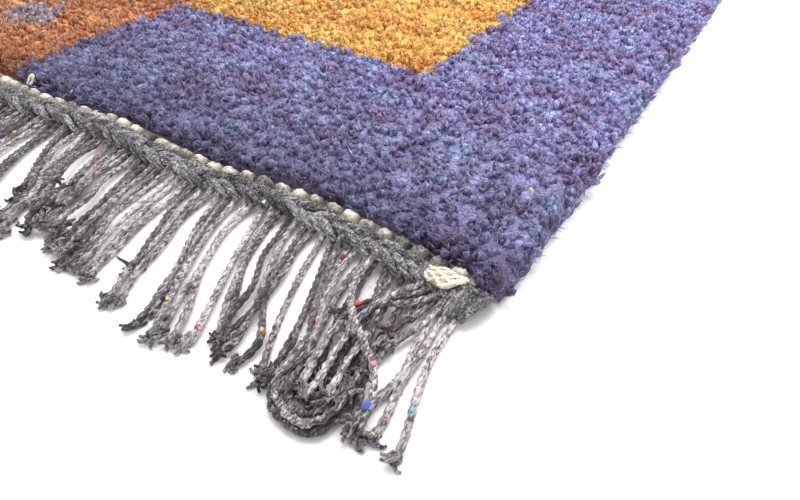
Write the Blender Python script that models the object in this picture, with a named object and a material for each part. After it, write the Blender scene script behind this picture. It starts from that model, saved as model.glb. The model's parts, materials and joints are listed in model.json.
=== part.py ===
# Hand-knotted wool rug with a braided heading and a cord fringe at each end.
# It lies flat on the floor: X is its width, Y its length, Z up from the floor.
# The origin is on the floor, at the middle of the rug and its fringes.

import math
import random
from collections import namedtuple

import bmesh
import bpy

MM = 0.001

# Cloth
WIDTH = 600 * MM
LENGTH = 900 * MM
GAP = 0.3 * MM

# Pile: its top is a coarse grid, and its rim has three lumps for each cell of that grid
PILE_HEIGHT = 17.5 * MM
PILE_TOP_INSET = 9 * MM
PILE_CELLS_X = 16
PILE_CELLS_Y = 24
PILE_RIM_CUTS = 2
PILE_TOP_LUMP = 0.8 * MM
PILE_CORNER_ROUND = 3 * MM

# Rings of the pile's rim from the top down: height, inset, and how far a lump moves a point
RimRing = namedtuple("RimRing", "height inset lump")
PILE_RIM = [
    RimRing(15.5 * MM, 2.5 * MM, 1.4 * MM),
    RimRing(11.5 * MM, -0.4 * MM, 1.6 * MM),
    RimRing(7.0 * MM, 1.4 * MM, 0.6 * MM),
    RimRing(0.0, 4.2 * MM, 0.8 * MM),
]

# Woven end row: a knuckle over each group of warps
ROW_DEPTH = 7.7 * MM
ROW_HEIGHT = 6.5 * MM
KNUCKLE_PITCH = 11.2 * MM
KNUCKLE_GROOVE = 0.52
ROW_END = 22 * MM

# Fringe: a narrow strip, and cords that leave its outer edge
STRIP_BACK = ROW_DEPTH + 2 * GAP
STRIP_FRONT = 20 * MM
STRIP_HEIGHT = 3.8 * MM
CORD_WIDTH = 3.8 * MM
CORD_TIP_WIDTH = 3.1 * MM
CORD_TIP_HEIGHT = 3.0 * MM
CORD_STATIONS = (0.3, 0.64, 1.0)
FIRST_CORD = 11 * MM

# Braid: two rows of slanting stitches on top of the strip
BRAID_BACK = STRIP_BACK + GAP
BRAID_FRONT = 21.5 * MM
BRAID_FLOOR = STRIP_HEIGHT + GAP
BRAID_HEIGHT = 11.5 * MM
STITCH_PITCH = 8 * MM
STITCH_SLANT = 3 * MM
STITCH_GROOVE = 1.6 * MM
BRAID_END = 10 * MM

# Darn: a ragged patch of thread draped over the end row and the braid
DARN_THICKNESS = 2.0 * MM
DARN_LIFT = 0.6 * MM
DARN_RIDGE = 0.5 * MM
DARN_STEPS = 10

# Locks of the fringe from one corner to the other: how many cords lie together, how far
# their tips drift towards the first corner, how much they draw together, and how far
# from the pile's edge they reach
Lock = namedtuple("Lock", "cords drift gather reach")
FRONT_LOCKS = [
    Lock(3, 5 * MM, 0.0, 113 * MM),
    Lock(11, 14 * MM, 0.33, 112 * MM),
    Lock(2, 24 * MM, 0.1, 108 * MM),
    Lock(4, 27 * MM, 0.3, 104 * MM),
    Lock(2, 29 * MM, 0.1, 107 * MM),
    Lock(3, 25 * MM, 0.3, 111 * MM),
    Lock(1, 25 * MM, 0.0, 100 * MM),
    Lock(2, 20 * MM, 0.2, 112 * MM),
    Lock(2, 17 * MM, 0.2, 94 * MM),
    Lock(4, 6 * MM, 0.1, 102 * MM),
    Lock(6, 8 * MM, 0.3, 105 * MM),
    Lock(7, 18 * MM, 0.3, 101 * MM),
    Lock(3, 12 * MM, 0.1, 98 * MM),
    Lock(4, 10 * MM, 0.1, 103 * MM),
    Lock(8, 2 * MM, 0.15, 100 * MM),
    Lock(5, -4 * MM, 0.3, 106 * MM),
    Lock(3, -3 * MM, 0.1, 99 * MM),
    Lock(6, 3 * MM, 0.3, 104 * MM),
    Lock(4, 9 * MM, 0.1, 97 * MM),
    Lock(7, 5 * MM, 0.3, 108 * MM),
    Lock(2, 2 * MM, 0.0, 102 * MM),
    Lock(5, 4 * MM, 0.25, 105 * MM),
    Lock(4, 8 * MM, 0.1, 98 * MM),
    Lock(6, 3 * MM, 0.2, 107 * MM),
]
BACK_LOCKS = [
    Lock(5, 6 * MM, 0.2, 106 * MM),
    Lock(4, 10 * MM, 0.1, 101 * MM),
    Lock(8, 14 * MM, 0.33, 113 * MM),
    Lock(3, 9 * MM, 0.1, 98 * MM),
    Lock(7, 4 * MM, 0.3, 107 * MM),
    Lock(6, 11 * MM, 0.3, 103 * MM),
    Lock(2, 6 * MM, 0.0, 109 * MM),
    Lock(9, 2 * MM, 0.3, 104 * MM),
    Lock(4, -2 * MM, 0.1, 99 * MM),
    Lock(7, 3 * MM, 0.3, 108 * MM),
    Lock(3, 8 * MM, 0.1, 102 * MM),
    Lock(8, 12 * MM, 0.33, 110 * MM),
    Lock(5, 3 * MM, 0.1, 97 * MM),
    Lock(6, -3 * MM, 0.3, 105 * MM),
    Lock(4, 4 * MM, 0.1, 101 * MM),
    Lock(9, 7 * MM, 0.3, 108 * MM),
    Lock(5, 3 * MM, 0.2, 103 * MM),
    Lock(9, -2 * MM, 0.1, 106 * MM),
]

# The two ends: which way is out, the swing of the edge, how far it sags out at the corner
# where its locks begin and at the other one, and its locks
End = namedtuple("End", "name out swing phase first_sag last_sag locks")
ENDS = [
    End("front", -1, 2.4 * MM, 35 * MM, 15 * MM, 5 * MM, FRONT_LOCKS),
    End("back", 1, 2.0 * MM, 80 * MM, 6 * MM, 7 * MM, BACK_LOCKS),
]
EDGE_WAVE = 145 * MM
SAG_REACH = 80 * MM

# The near corner leans in: the slope of its side, and where that slope starts
CORNER_LEAN = 0.19
LEAN_START = 13 * MM
LEAN_REACH = 60 * MM

# Stations across the darn: distance from the rug's side, and how far from the pile's edge
# its back and its front lie there
DarnColumn = namedtuple("DarnColumn", "side back front")
DARN = [
    DarnColumn(41 * MM, 6.5 * MM, 12.5 * MM),
    DarnColumn(38 * MM, 4.0 * MM, 17.0 * MM),
    DarnColumn(35 * MM, 4.5 * MM, 16.0 * MM),
    DarnColumn(32 * MM, 2.5 * MM, 20.0 * MM),
    DarnColumn(29 * MM, 2.0 * MM, 21.5 * MM),
    DarnColumn(26 * MM, 1.2 * MM, 22.5 * MM),
    DarnColumn(23 * MM, 1.4 * MM, 20.5 * MM),
    DarnColumn(21 * MM, 4.5 * MM, 14.0 * MM),
]

# The surface that the darn lies on: distance from the pile's edge, and height
Drape = namedtuple("Drape", "out height")
DRAPE = [
    Drape(0.0, ROW_HEIGHT),
    Drape(6.6 * MM, ROW_HEIGHT),
    Drape(9.4 * MM, BRAID_HEIGHT - 1 * MM),
    Drape(12 * MM, BRAID_HEIGHT),
    Drape(18.5 * MM, BRAID_HEIGHT),
    Drape(20.5 * MM, BRAID_HEIGHT - 1.6 * MM),
    Drape(23 * MM, BRAID_HEIGHT - 4 * MM),
]

# Linear base colours and roughness
PURPLE = (0.105, 0.085, 0.235, 1)
COTTON = (0.55, 0.49, 0.38, 1)
BRAID_GREY = (0.13, 0.14, 0.15, 1)
CORD_GREY = (0.19, 0.17, 0.19, 1)
CREAM = (0.80, 0.74, 0.60, 1)
ROUGH = 0.95


def smooth_step(share):
    share = min(max(share, 0.0), 1.0)
    return share * share * (3 - 2 * share)


def side_place(end, along):
    # Distance along an end from the corner where its locks begin, as an X coordinate
    return -end.out * (WIDTH / 2 - along)


def along_of(end, x):
    return WIDTH / 2 + end.out * x


def edge_shift(end, along):
    # How far outward the end's edge lies from a straight line, at a distance from its corner
    ripple = -end.swing * math.cos(2 * math.pi * (along - WIDTH / 2 + end.phase) / EDGE_WAVE)
    first = max(0.0, 1 - max(along, 0.0) / SAG_REACH)
    last = max(0.0, 1 - max(WIDTH - along, 0.0) / SAG_REACH)
    return ripple + end.first_sag * first**2 + end.last_sag * last**2


def edge_point(end, along, out, height):
    # A point by its place along the end, its distance outward from the pile and its height
    y = end.out * (LENGTH / 2 + out + edge_shift(end, along))
    return (side_place(end, along), y, height)


def make_material(name, colour):
    material = bpy.data.materials.new(name)
    material.use_nodes = True
    shader = material.node_tree.nodes["Principled BSDF"]
    shader.inputs["Base Color"].default_value = colour
    shader.inputs["Roughness"].default_value = ROUGH
    shader.inputs["Metallic"].default_value = 0.0
    return material


def add_object(name, bm, material):
    bmesh.ops.recalc_face_normals(bm, faces=bm.faces)
    mesh = bpy.data.meshes.new(name)
    bm.to_mesh(mesh)
    bm.free()
    mesh.shade_smooth()
    mesh.set_sharp_from_angle(angle=math.radians(50))
    mesh.materials.append(material)
    bpy.context.scene.collection.objects.link(bpy.data.objects.new(name, mesh))


def draw_out(bm, face, points):
    # Extrudes a face to its next section, whose points come in the face's own order
    face = bmesh.ops.extrude_discrete_faces(bm, faces=[face])["faces"][0]
    for vert, point in zip(face.verts, points):
        vert.co = point
    return face


def sweep(bm, sections):
    # A closed bar through sections of equal point count
    face = bm.faces.new([bm.verts.new(point) for point in sections[0]])
    for section in sections[1:]:
        face = draw_out(bm, face, section)
    open_edges = [edge for edge in bm.edges if edge.is_boundary]
    bmesh.ops.holes_fill(bm, edges=open_edges, sides=len(sections[0]))


def make_pile():
    chance = random.Random(7)
    bm = bmesh.new()
    bmesh.ops.create_grid(bm, x_segments=PILE_CELLS_X, y_segments=PILE_CELLS_Y, size=1)
    rim = [edge for edge in bm.edges if edge.is_boundary]
    bmesh.ops.subdivide_edges(bm, edges=rim, cuts=PILE_RIM_CUTS)

    # Each point keeps its place on the grid, from -1 to 1 both ways
    across = bm.verts.layers.float.new("across")
    along = bm.verts.layers.float.new("along")
    for vert in bm.verts:
        vert[across] = vert.co.x
        vert[along] = vert.co.y

    def place(vert, height, inset):
        corner = abs(vert[across] * vert[along]) ** 24 * PILE_CORNER_ROUND
        half_width = WIDTH / 2 - inset - corner
        half_length = LENGTH / 2 - inset - corner
        vert.co = (vert[across] * half_width, vert[along] * half_length, height)

    for vert in bm.verts:
        lump = chance.uniform(-PILE_TOP_LUMP, PILE_TOP_LUMP)
        place(vert, PILE_HEIGHT + lump, PILE_TOP_INSET)

    for ring in PILE_RIM:
        rim = [edge for edge in bm.edges if edge.is_boundary]
        extruded = bmesh.ops.extrude_edge_only(bm, edges=rim)["geom"]
        for vert in extruded:
            if isinstance(vert, bmesh.types.BMVert):
                lump = chance.uniform(-ring.lump, ring.lump)
                place(vert, ring.height, ring.inset + lump)
    rim = [edge for edge in bm.edges if edge.is_boundary]
    bmesh.ops.holes_fill(bm, edges=rim, sides=len(rim))

    for vert in bm.verts:
        lean_to_corner(vert)
        follow_edges(vert)
    add_object("pile", bm, make_material("purple wool", PURPLE))


def lean_to_corner(vert):
    # The near corner, at +X and -Y, is drawn in along the side
    out = LEAN_START - LENGTH / 2 - vert.co.y
    near_side = smooth_step(1 - (WIDTH / 2 - vert.co.x) / LEAN_REACH)
    vert.co.x -= CORNER_LEAN * max(out, 0.0) * near_side


def follow_edges(vert):
    # Each end of the pile follows its own wavy edge, and the swing dies away inward
    for end in ENDS:
        inward = LENGTH / 2 - end.out * vert.co.y
        share = smooth_step(1 - inward / SAG_REACH)
        vert.co.y += end.out * share * edge_shift(end, along_of(end, vert.co.x))


def make_end_row(end, material):
    knuckles = round((WIDTH - 2 * ROW_END) / KNUCKLE_PITCH)
    pitch = (WIDTH - 2 * ROW_END) / knuckles
    sections = []
    for knuckle in range(knuckles):
        start = ROW_END + pitch * knuckle
        for share, rise in ((0.0, KNUCKLE_GROOVE), (0.3, 1.0), (0.74, 0.94)):
            sections.append(row_section(end, start + share * pitch, rise))
    sections.append(row_section(end, WIDTH - ROW_END, KNUCKLE_GROOVE))
    bm = bmesh.new()
    sweep(bm, sections)
    add_object(f"end_row_{end.name}", bm, material)


def row_section(end, along, rise):
    front = GAP + ROW_DEPTH * (0.75 + 0.25 * rise)
    return [
        edge_point(end, along, GAP, 0),
        edge_point(end, along, 1.1 * MM, ROW_HEIGHT * rise * 0.9),
        edge_point(end, along, 5.2 * MM, ROW_HEIGHT * rise),
        edge_point(end, along, front, 0),
    ]


def make_braid(end, material):
    stitches = round((WIDTH - 2 * BRAID_END) / STITCH_PITCH)
    pitch = (WIDTH - 2 * BRAID_END) / stitches
    sections = [braid_section(end, BRAID_END, STITCH_GROOVE, 0.0)]
    for stitch in range(stitches):
        start = BRAID_END + pitch * stitch
        sections.append(braid_section(end, start + 0.4 * pitch, 0.0, STITCH_SLANT / 2))
        if stitch < stitches - 1:
            sections.append(braid_section(end, start + 0.8 * pitch, STITCH_GROOVE, STITCH_SLANT / 2))
    sections.append(braid_section(end, WIDTH - BRAID_END, STITCH_GROOVE, 0.0))
    bm = bmesh.new()
    sweep(bm, sections)
    add_object(f"braid_{end.name}", bm, material)


def braid_section(end, along, groove, slant):
    # Two crests with a valley between them: a groove lowers the crests, and the slant
    # carries the stitches of each row towards the valley, so that they lie herringbone
    middle = (BRAID_BACK + BRAID_FRONT) / 2
    back_crest = (BRAID_BACK + middle) / 2 - 0.4 * MM
    front_crest = (middle + BRAID_FRONT) / 2 + 0.4 * MM
    return [
        edge_point(end, along - slant, BRAID_BACK, BRAID_FLOOR),
        edge_point(end, along, back_crest, BRAID_HEIGHT - groove),
        edge_point(end, along + slant, middle, BRAID_HEIGHT - 2 * MM),
        edge_point(end, along, front_crest, BRAID_HEIGHT - 0.5 * MM - groove),
        edge_point(end, along - slant, BRAID_FRONT - groove / 2, BRAID_FLOOR),
    ]


def cord_roots(end):
    # Each cord's root and tip along the end, and its reach, from the table of locks
    count = sum(lock.cords for lock in end.locks)
    pitch = (WIDTH - 2 * FIRST_CORD) / (count - 1)
    cords = []
    for lock in end.locks:
        first = FIRST_CORD + pitch * len(cords)
        middle = first + pitch * (lock.cords - 1) / 2
        for cord in range(lock.cords):
            root = first + pitch * cord
            shift = -lock.drift - lock.gather * (root - middle)
            cords.append((root, shift, lock.reach))
    return cords


def make_fringe(end, material):
    bm = bmesh.new()
    cords = cord_roots(end)
    half = CORD_WIDTH / 2
    half_pitch = (cords[1][0] - cords[0][0]) / 2

    def column(along, out):
        floor = bm.verts.new(edge_point(end, along, out, 0))
        top = bm.verts.new(edge_point(end, along, out, STRIP_HEIGHT))
        return floor, top

    backs = [column(root - half_pitch, STRIP_BACK) for root, shift, reach in cords]
    backs.append(column(cords[-1][0] + half_pitch, STRIP_BACK))
    lefts = [column(root - half, STRIP_FRONT) for root, shift, reach in cords]
    rights = [column(root + half, STRIP_FRONT) for root, shift, reach in cords]

    root_faces = []
    for index in range(len(cords)):
        for level in (0, 1):
            corners = [backs[index], backs[index + 1], rights[index], lefts[index]]
            bm.faces.new([corner[level] for corner in corners])
        bm.faces.new([*backs[index], *reversed(backs[index + 1])])
        root_faces.append(bm.faces.new([*lefts[index], *reversed(rights[index])]))
    for index in range(len(cords) - 1):
        for level in (0, 1):
            corners = [backs[index + 1], rights[index], lefts[index + 1]]
            bm.faces.new([corner[level] for corner in corners])
        bm.faces.new([*rights[index], *reversed(lefts[index + 1])])
    bm.faces.new([*backs[0], *reversed(lefts[0])])
    bm.faces.new([*backs[-1], *reversed(rights[-1])])

    for face, (root, shift, reach) in zip(root_faces, cords):
        for share in CORD_STATIONS:
            face = draw_out(bm, face, cord_section(end, root, shift, reach, share))
    add_object(f"fringe_{end.name}", bm, material)


def cord_section(end, root, shift, reach, share):
    # A cord leaves the strip straight and bends to its tip, flat on the floor
    start = STRIP_FRONT + edge_shift(end, root)
    out = start + (reach - start) * share
    along = root + shift * share**1.4
    half = (CORD_WIDTH + (CORD_TIP_WIDTH - CORD_WIDTH) * share) / 2
    height = STRIP_HEIGHT + (CORD_TIP_HEIGHT - STRIP_HEIGHT) * share
    y = end.out * (LENGTH / 2 + out)
    low_x = side_place(end, along - half)
    high_x = side_place(end, along + half)
    return [(low_x, y, 0), (low_x, y, height), (high_x, y, height), (high_x, y, 0)]


def drape_height(out):
    for low, high in zip(DRAPE, DRAPE[1:]):
        if out <= high.out:
            share = (out - low.out) / (high.out - low.out)
            return low.height + share * (high.height - low.height)
    return DRAPE[-1].height


def make_darn(end, material):
    # One patch on the front end's first corner, ridged where its threads lie
    sections = []
    for index, spot in enumerate(DARN):
        under = []
        over = []
        for step in range(DARN_STEPS + 1):
            out = spot.back + (spot.front - spot.back) * step / DARN_STEPS
            ridge = DARN_RIDGE * ((index + step) % 2)
            floor = drape_height(out) + DARN_LIFT
            under.append(edge_point(end, spot.side, out, floor))
            over.append(edge_point(end, spot.side, out, floor + DARN_THICKNESS + ridge))
        sections.append(under + over[::-1])
    bm = bmesh.new()
    sweep(bm, sections)
    add_object("corner_darn", bm, material)


def main():
    for old in list(bpy.data.objects):
        bpy.data.objects.remove(old)
    make_pile()
    cotton = make_material("cotton picks", COTTON)
    braid_grey = make_material("braid yarn", BRAID_GREY)
    cord_grey = make_material("fringe yarn", CORD_GREY)
    for end in ENDS:
        make_end_row(end, cotton)
        make_braid(end, braid_grey)
        make_fringe(end, cord_grey)
    make_darn(ENDS[0], make_material("cream thread", CREAM))


main()
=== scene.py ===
import json
import math

import bpy
import numpy as np
from mathutils import Matrix, Vector

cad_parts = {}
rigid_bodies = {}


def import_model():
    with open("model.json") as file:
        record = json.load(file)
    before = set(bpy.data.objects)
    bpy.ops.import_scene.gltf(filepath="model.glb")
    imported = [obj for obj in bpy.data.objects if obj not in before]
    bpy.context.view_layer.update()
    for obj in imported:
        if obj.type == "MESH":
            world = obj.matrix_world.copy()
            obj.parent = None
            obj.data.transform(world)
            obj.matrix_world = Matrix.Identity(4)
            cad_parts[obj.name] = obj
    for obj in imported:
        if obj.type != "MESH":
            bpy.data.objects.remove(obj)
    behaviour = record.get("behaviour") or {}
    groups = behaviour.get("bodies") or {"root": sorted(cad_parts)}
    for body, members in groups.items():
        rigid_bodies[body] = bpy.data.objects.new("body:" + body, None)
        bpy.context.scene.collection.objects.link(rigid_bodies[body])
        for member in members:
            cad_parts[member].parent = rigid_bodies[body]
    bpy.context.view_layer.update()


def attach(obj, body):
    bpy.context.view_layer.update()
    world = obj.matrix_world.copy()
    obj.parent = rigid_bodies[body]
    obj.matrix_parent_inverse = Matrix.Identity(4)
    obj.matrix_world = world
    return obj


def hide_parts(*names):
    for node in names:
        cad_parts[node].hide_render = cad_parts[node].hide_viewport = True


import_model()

# Rug: the cloth's plan in metres. X is its width, Y its length, and the front end is at -Y.
rug = {
    "width": 0.600,
    "length": 0.900,
    "edgeWave": 0.145,     # length of one swing of the end edges
    "sagReach": 0.080,     # how far a corner's sag runs along the edge
    "cornerLean": 0.22,    # slope of the near corner's side
    "leanStart": 0.013,
    "leanReach": 0.060,
    "tongue": 0.0085,      # how much further the near corner's pile comes forward
    "tongueReach": 0.019,
}
ends = {
    "front": {"out": -1, "swing": 0.0024, "phase": 0.035, "firstSag": 0.015, "lastSag": 0.005},
    "back": {"out": 1, "swing": 0.0020, "phase": 0.080, "firstSag": 0.006, "lastSag": 0.007},
}

# Colour plan of the pile, mirrored about the middle of the rug's length
blocks = {
    "orangeSide": 0.161,     # X of the orange block's right side
    "orangeEnd": 0.296,      # its ends, as a distance from the rug's middle
    "rustSide": -0.070,      # X where the rust column ends
    "lozenge": (-0.147, 0.378),
    "lozengeSize": (0.027, 0.021),
    "lozengeReach": 1.25,
    "ragged": 0.0011,        # how far a knot's colour may stray over an edge
}


def srgb(red, green, blue):
    # Colours are chosen as 0 to 255 screen values
    def linear(value):
        value = value / 255
        return value / 12.92 if value <= 0.04045 else ((value + 0.055) / 1.055) ** 2.4
    return (linear(red), linear(green), linear(blue), 1.0)


def smoothStep(share):
    share = np.clip(share, 0.0, 1.0)
    return share * share * (3 - 2 * share)


def edgeShift(end, along):
    # How far outward an end's edge lies from a straight line, by the distance from its first corner
    swing = -end["swing"] * np.cos(
        2 * np.pi * (along - rug["width"] / 2 + end["phase"]) / rug["edgeWave"])
    first = np.maximum(0.0, 1 - np.maximum(along, 0.0) / rug["sagReach"])
    last = np.maximum(0.0, 1 - np.maximum(rug["width"] - along, 0.0) / rug["sagReach"])
    return swing + end["firstSag"] * first**2 + end["lastSag"] * last**2


def endPoints(end, along, out, height):
    # Points of an end, by their distance along it, outward from the pile's edge, and height
    along, out, height = np.broadcast_arrays(along, out, height)
    x = -end["out"] * (rug["width"] / 2 - along)
    y = end["out"] * (rug["length"] / 2 + out + edgeShift(end, along))
    return np.stack([x, y, height], axis=-1).astype(float)


def measuredPoints(end, places):
    # Points of an end, from millimetres along it, straight out from the pile's edge, and up
    along, out, height = np.array(places).T / 1000
    return endPoints(end, along, out - edgeShift(end, along), height)


def bendToEdges(points):
    # The pile's ends follow their wavy edges, and its near corner leans in
    points = points.copy()
    out = rug["leanStart"] - rug["length"] / 2 - points[:, 1]
    side = rug["width"] / 2 - points[:, 0]
    points[:, 0] -= rug["cornerLean"] * np.maximum(out, 0.0) * smoothStep(1 - side / rug["leanReach"])
    ending = smoothStep(1 - (points[:, 1] + rug["length"] / 2) / rug["tongueReach"])
    points[:, 1] -= rug["tongue"] * ending * smoothStep(1.3 - side / rug["tongueReach"])
    for end in ends.values():
        inward = rug["length"] / 2 - end["out"] * points[:, 1]
        share = smoothStep(1 - inward / rug["sagReach"])
        along = rug["width"] / 2 + end["out"] * points[:, 0]
        points[:, 1] += end["out"] * share * edgeShift(end, along)
    return points


def smoothLine(points, spacing):
    # A soft line through the points, with a point at about every spacing
    points = np.array(points, float)
    steps = np.concatenate([[0], np.cumsum(np.linalg.norm(np.diff(points, axis=0), axis=1))])
    shares = np.arange(0, steps[-1], spacing)
    line = np.column_stack([np.interp(shares, steps, points[:, axis]) for axis in range(3)])
    for turn in range(3):
        line[1:-1] = (line[:-2] + 2 * line[1:-1] + line[2:]) / 4
    return line


# Node trees

def addNode(tree, kind, settings=None, inputs=None):
    # A node with its settings, whose inputs are values or other nodes' outputs
    node = tree.nodes.new(kind)
    for name, value in (settings or {}).items():
        setattr(node, name, value)
    for name, value in (inputs or {}).items():
        if isinstance(value, bpy.types.NodeSocket):
            tree.links.new(value, node.inputs[name])
        else:
            node.inputs[name].default_value = value
    return node


def mathNode(tree, operation, *values):
    inputs = dict(enumerate(values))
    return addNode(tree, "ShaderNodeMath", {"operation": operation}, inputs).outputs[0]


def vectorNode(tree, operation, *vectors, scale=None):
    inputs = dict(enumerate(vectors))
    if scale is not None:
        inputs["Scale"] = scale
    return addNode(tree, "ShaderNodeVectorMath", {"operation": operation}, inputs).outputs[0]


def mixNode(tree, share, first, second, blend="MIX"):
    # Two colours mixed by a share; a colour mix has its colours at these places
    node = addNode(tree, "ShaderNodeMix", {"data_type": "RGBA", "blend_type": blend}, {
        0: share, 6: first, 7: second})
    return node.outputs[2]


def noiseNode(tree, vector, scale, detail=2.0, roughness=0.5, distortion=0.0):
    node = addNode(tree, "ShaderNodeTexNoise", None, {
        "Vector": vector, "Scale": scale, "Detail": detail, "Roughness": roughness,
        "Distortion": distortion})
    return node.outputs[0]


def rangeNode(tree, value, fromMin, fromMax, toMin=0.0, toMax=1.0):
    node = addNode(tree, "ShaderNodeMapRange", None, {
        "Value": value, "From Min": fromMin, "From Max": fromMax, "To Min": toMin, "To Max": toMax})
    return node.outputs[0]


def objectPlace(tree):
    return addNode(tree, "ShaderNodeTexCoord").outputs["Object"]


def startTree(name, treeType, inputs, outputs):
    # A node group with named sockets, and its two end nodes
    tree = bpy.data.node_groups.new(name, treeType)
    for socketName, socketType, value in inputs:
        socket = tree.interface.new_socket(socketName, in_out="INPUT", socket_type=socketType)
        if value is not None:
            socket.default_value = value
    for socketName, socketType in outputs:
        tree.interface.new_socket(socketName, in_out="OUTPUT", socket_type=socketType)
    return tree, tree.nodes.new("NodeGroupInput"), tree.nodes.new("NodeGroupOutput")


def namedValue(tree, name, dataType="FLOAT"):
    node = addNode(tree, "GeometryNodeInputNamedAttribute", {"data_type": dataType}, {"Name": name})
    return node.outputs["Attribute"]


def makeScatterTree():
    # Places one of several shapes on every point, turned, leant and sized by the point's values
    tree, given, result = startTree("scatterShapes", "GeometryNodeTree", [
        ("Points", "NodeSocketGeometry", None),
        ("Shapes", "NodeSocketCollection", None),
        ("Material", "NodeSocketMaterial", None),
    ], [("Mesh", "NodeSocketGeometry")])
    shapes = addNode(tree, "GeometryNodeCollectionInfo", None, {
        "Collection": given.outputs["Shapes"], "Separate Children": True, "Reset Children": True})
    turn = addNode(tree, "ShaderNodeCombineXYZ", None, {"Z": namedValue(tree, "turn")})
    turned = addNode(tree, "FunctionNodeEulerToRotation", None, {0: turn.outputs[0]})
    leant = addNode(tree, "FunctionNodeEulerToRotation", None,
                    {0: namedValue(tree, "lean", "FLOAT_VECTOR")})
    rotation = addNode(tree, "FunctionNodeRotateRotation", {"rotation_space": "GLOBAL"}, {
        "Rotation": turned.outputs[0], "Rotate By": leant.outputs[0]})
    placed = addNode(tree, "GeometryNodeInstanceOnPoints", None, {
        "Points": given.outputs["Points"], "Instance": shapes.outputs[0], "Pick Instance": True,
        "Instance Index": namedValue(tree, "kind", "INT"), "Rotation": rotation.outputs[0],
        "Scale": namedValue(tree, "size", "FLOAT_VECTOR")})
    real = addNode(tree, "GeometryNodeRealizeInstances", None, {"Geometry": placed.outputs[0]})
    finished = addNode(tree, "GeometryNodeSetMaterial", None, {
        "Geometry": real.outputs[0], "Material": given.outputs["Material"]})
    tree.links.new(finished.outputs[0], result.inputs[0])
    return tree


def makeYarnTree():
    # Twists plies round every line of a mesh: the line's own thick and spread values size them
    tree, given, result = startTree("twistedYarn", "GeometryNodeTree", [
        ("Lines", "NodeSocketGeometry", None),
        ("Plies", "NodeSocketInt", 2),
        ("Ply Radius", "NodeSocketFloat", 0.001),
        ("Ply Offset", "NodeSocketFloat", 0.001),
        ("Turn Length", "NodeSocketFloat", 0.007),
        ("Ring Spacing", "NodeSocketFloat", 0.001),
        ("Sides", "NodeSocketInt", 5),
        ("Material", "NodeSocketMaterial", None),
    ], [("Mesh", "NodeSocketGeometry")])
    curve = addNode(tree, "GeometryNodeMeshToCurve", None, {"Mesh": given.outputs["Lines"]})
    even = addNode(tree, "GeometryNodeResampleCurve", {"mode": "LENGTH"}, {
        "Curve": curve.outputs[0], "Length": given.outputs["Ring Spacing"]})
    plies = addNode(tree, "GeometryNodeDuplicateElements", {"domain": "SPLINE"}, {
        "Geometry": even.outputs[0], "Amount": given.outputs["Plies"]})
    length = addNode(tree, "GeometryNodeSplineParameter").outputs["Length"]
    turns = mathNode(tree, "DIVIDE", length, given.outputs["Turn Length"])
    plyShare = mathNode(tree, "DIVIDE", plies.outputs["Duplicate Index"], given.outputs["Plies"])
    phase = mathNode(tree, "ADD", namedValue(tree, "phase"), plyShare)
    angle = mathNode(tree, "MULTIPLY", mathNode(tree, "ADD", turns, phase), 2 * math.pi)
    tangent = addNode(tree, "GeometryNodeInputTangent").outputs[0]
    side = vectorNode(tree, "NORMALIZE", vectorNode(tree, "CROSS_PRODUCT", tangent, (0.0, 0.02, 1.0)))
    above = vectorNode(tree, "CROSS_PRODUCT", side, tangent)
    across = vectorNode(tree, "SCALE", side, scale=mathNode(tree, "COSINE", angle))
    upward = vectorNode(tree, "SCALE", above, scale=mathNode(tree, "SINE", angle))
    radius = mathNode(tree, "MULTIPLY", given.outputs["Ply Offset"], namedValue(tree, "spread"))
    offset = vectorNode(tree, "SCALE", vectorNode(tree, "ADD", across, upward), scale=radius)
    wound = addNode(tree, "GeometryNodeSetPosition", None, {
        "Geometry": plies.outputs[0], "Offset": offset})
    thickness = mathNode(tree, "MULTIPLY", given.outputs["Ply Radius"], namedValue(tree, "thick"))
    sized = addNode(tree, "GeometryNodeSetCurveRadius", None, {
        "Curve": wound.outputs[0], "Radius": thickness})
    marked = addNode(tree, "GeometryNodeStoreNamedAttribute", {
        "data_type": "FLOAT", "domain": "POINT"}, {
        "Geometry": sized.outputs[0], "Name": "along", "Value": length})
    ring = addNode(tree, "GeometryNodeCurvePrimitiveCircle", None, {
        "Resolution": given.outputs["Sides"], "Radius": 1.0})
    tube = addNode(tree, "GeometryNodeCurveToMesh", None, {
        "Curve": marked.outputs[0], "Profile Curve": ring.outputs[0], "Fill Caps": True})
    if "Scale" in tube.inputs:
        tree.links.new(thickness, tube.inputs["Scale"])
    smooth = addNode(tree, "GeometryNodeSetShadeSmooth", None, {"Geometry": tube.outputs[0]})
    real = addNode(tree, "GeometryNodeRealizeInstances", None, {"Geometry": smooth.outputs[0]})
    finished = addNode(tree, "GeometryNodeSetMaterial", None, {
        "Geometry": real.outputs[0], "Material": given.outputs["Material"]})
    tree.links.new(finished.outputs[0], result.inputs[0])
    return tree


scatterTree = makeScatterTree()
yarnTree = makeYarnTree()


def storeValues(mesh, values):
    # Per-point numbers, whole numbers, vectors or colours under their names
    for name, numbers in values.items():
        numbers = np.asarray(numbers)
        whole = numbers.dtype.kind == "i"
        sort, key = ("INT" if whole else "FLOAT"), "value"
        if numbers.ndim == 2:
            sort, key = ("FLOAT_VECTOR", "vector") if numbers.shape[1] == 3 else ("FLOAT_COLOR", "color")
        attribute = mesh.attributes.new(name, sort, "POINT")
        attribute.data.foreach_set(key, numbers.astype(np.int32 if whole else np.float32).ravel())


def addObject(name, data):
    added = bpy.data.objects.new(name, data)
    bpy.context.scene.collection.objects.link(added)
    return added


def gridRim(rows, columns):
    # The points round the edge of a grid, in order
    rim = list(range(columns))
    rim += [row * columns + columns - 1 for row in range(1, rows)]
    rim += [(rows - 1) * columns + column for column in range(columns - 2, -1, -1)]
    return rim + [row * columns for row in range(rows - 2, 0, -1)]


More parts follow.
